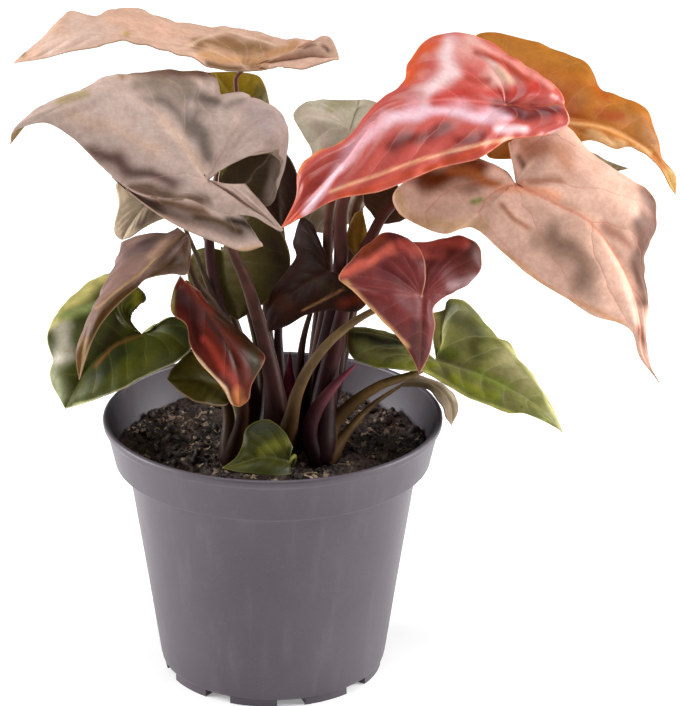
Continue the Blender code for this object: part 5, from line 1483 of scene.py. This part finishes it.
# Stalks at the right
# The right shoot, with the long petiole of the salmon leaf and a young leaf still rolled up.
# It also has the petioles of the green leaf and of the leaf bent over the rim.
shoot("right", (17.0, -19.0), [
    ("salmon_right", 2.8, 1.3, [(324, 395, -10), (338, 330, -6), (352, 275, -4), (368, 243, -3),
        (383, 215, -2), (402, 200, 0), (450, 190, 4), (497, 187, 4)],
     tone(36, 16, 20), tone(58, 26, 26), tone(80, 42, 36), tone(90, 54, 42), tone(150, 96, 70)),
    ("green_right", 2.4, 1.2, [(329, 430, -13), (350, 405, -10), (380, 385, -6), (410, 375, 0),
        (428, 367, 6)],
     tone(50, 30, 20), tone(104, 80, 46), tone(140, 120, 74)),
    ("over_rim", 1.8, 0.9, [(350, 428, -10), (372, 405, -2), (392, 391, 5)],
     tone(70, 50, 30), tone(120, 92, 54), tone(136, 110, 70))], [
    (3.0, [(309, 438, -20), (315, 412, -18), (333, 387, -15), (358, 362, -9)],
     tone(22, 10, 12), tone(44, 20, 24), tone(96, 54, 60), tone(116, 44, 64))])


# Stalks at the back on the left
# The rear left shoot carries the highest leaf and the small ones behind it.
# Two of its leaves are still rolled up, one wine-red and one dark.
shoot("rear_left", (-7.0, 7.0), [
    ("high_left", 2.4, 1.3, [(243, 370, 6), (220, 310, 2), (209, 245, 3), (215, 190, 10), (231, 120, 19),
        (236, 94, 23)],
     tone(46, 24, 28), tone(80, 50, 48), tone(120, 80, 60)),
    ("olive_rear", 1.8, 1.0, [(275, 400, 10), (268, 330, 16), (260, 240, 22), (249, 175, 33)],
     tone(46, 26, 28), tone(76, 56, 46), tone(110, 96, 52)),
    ("olive_stems", 1.8, 1.0, [(262, 380, 14), (248, 310, 18), (231, 268, 20)],
     tone(46, 26, 28), tone(72, 58, 40), tone(90, 84, 46)),
    ("dark_back", 1.8, 1.0, [(278, 400, 8), (278, 330, 18), (283, 250, 30), (274, 180, 38)],
     tone(44, 24, 28), tone(60, 40, 38), tone(60, 44, 38)),
    ("grey_left", 1.8, 1.0, [(238, 370, 4), (210, 290, -1), (182, 222, -1)],
     tone(46, 26, 28), tone(76, 58, 46), tone(100, 86, 62)),
    ("rear_left", 2.0, 1.1, [(250, 380, 16), (230, 310, 24), (200, 220, 27), (176, 160, 29)],
     tone(46, 26, 28), tone(84, 62, 48), tone(120, 96, 66))], [
    (4.2, [(290, 412, 1), (289, 385, 3), (290, 350, 6)],
     tone(24, 12, 12), tone(64, 22, 36), tone(112, 34, 58), tone(76, 30, 40)),
    (4.4, [(268, 430, -2), (271, 396, 0), (266, 350, 4)],
     tone(24, 12, 12), tone(34, 18, 18), tone(50, 30, 28))])


# Stalks at the back on the right
# The rear right shoot carries the pink, grey and orange leaves and the hidden ones behind them.
# One more leaf, dark, is still rolled up.
shoot("rear_right", (15.0, 5.0), [
    ("pink_front", 3.0, 1.4, [(323, 370, 1), (333, 310, 0), (340, 262, -2), (343, 200, -3), (375, 158, -1),
        (440, 128, 6), (487, 113, 12)],
     tone(36, 16, 20), tone(66, 34, 32), tone(110, 64, 52), tone(170, 84, 62)),
    ("grey_middle", 2.2, 1.2, [(314, 370, 8), (320, 300, 16), (330, 245, 26), (342, 190, 33),
        (350, 140, 37)],
     tone(46, 24, 28), tone(70, 46, 40), tone(100, 84, 66)),
    ("orange_right", 2.4, 1.3, [(333, 370, 6), (345, 300, 8), (353, 240, 9), (358, 200, 9), (400, 152, 16),
        (480, 129, 29)],
     tone(46, 24, 28), tone(90, 60, 44), tone(160, 104, 60)),
    ("small_rear", 1.8, 1.0, [(338, 370, 10), (355, 300, 14), (374, 235, 14), (393, 203, 20),
        (460, 193, 32), (535, 188, 42)],
     tone(46, 24, 28), tone(80, 56, 42), tone(110, 96, 66)),
    ("brown_centre", 1.8, 1.0, [(301, 390, 1), (302, 345, 0), (315, 300, -3)],
     tone(46, 24, 28), tone(64, 40, 32), tone(84, 52, 36)),
    ("olive_sliver", 1.6, 0.9, [(340, 360, 6), (356, 290, 8), (362, 230, 9)],
     tone(46, 24, 28), tone(72, 48, 34), tone(104, 76, 36)),
    ("rear_right", 2.2, 1.2, [(318, 360, 6), (327, 290, 4), (330, 205, 2), (360, 140, 10), (400, 122, 30)],
     tone(46, 24, 28), tone(90, 56, 44), tone(150, 96, 70)),
    ("rear_low", 1.8, 1.0, [(336, 370, 8), (349, 300, 10), (366, 250, 10)],
     tone(46, 24, 28), tone(76, 62, 38), tone(96, 92, 50))], [
    (5.0, [(322, 430, -2), (326, 395, 0), (334, 340, 4)],
     tone(24, 12, 12), tone(34, 16, 18), tone(50, 26, 28))])
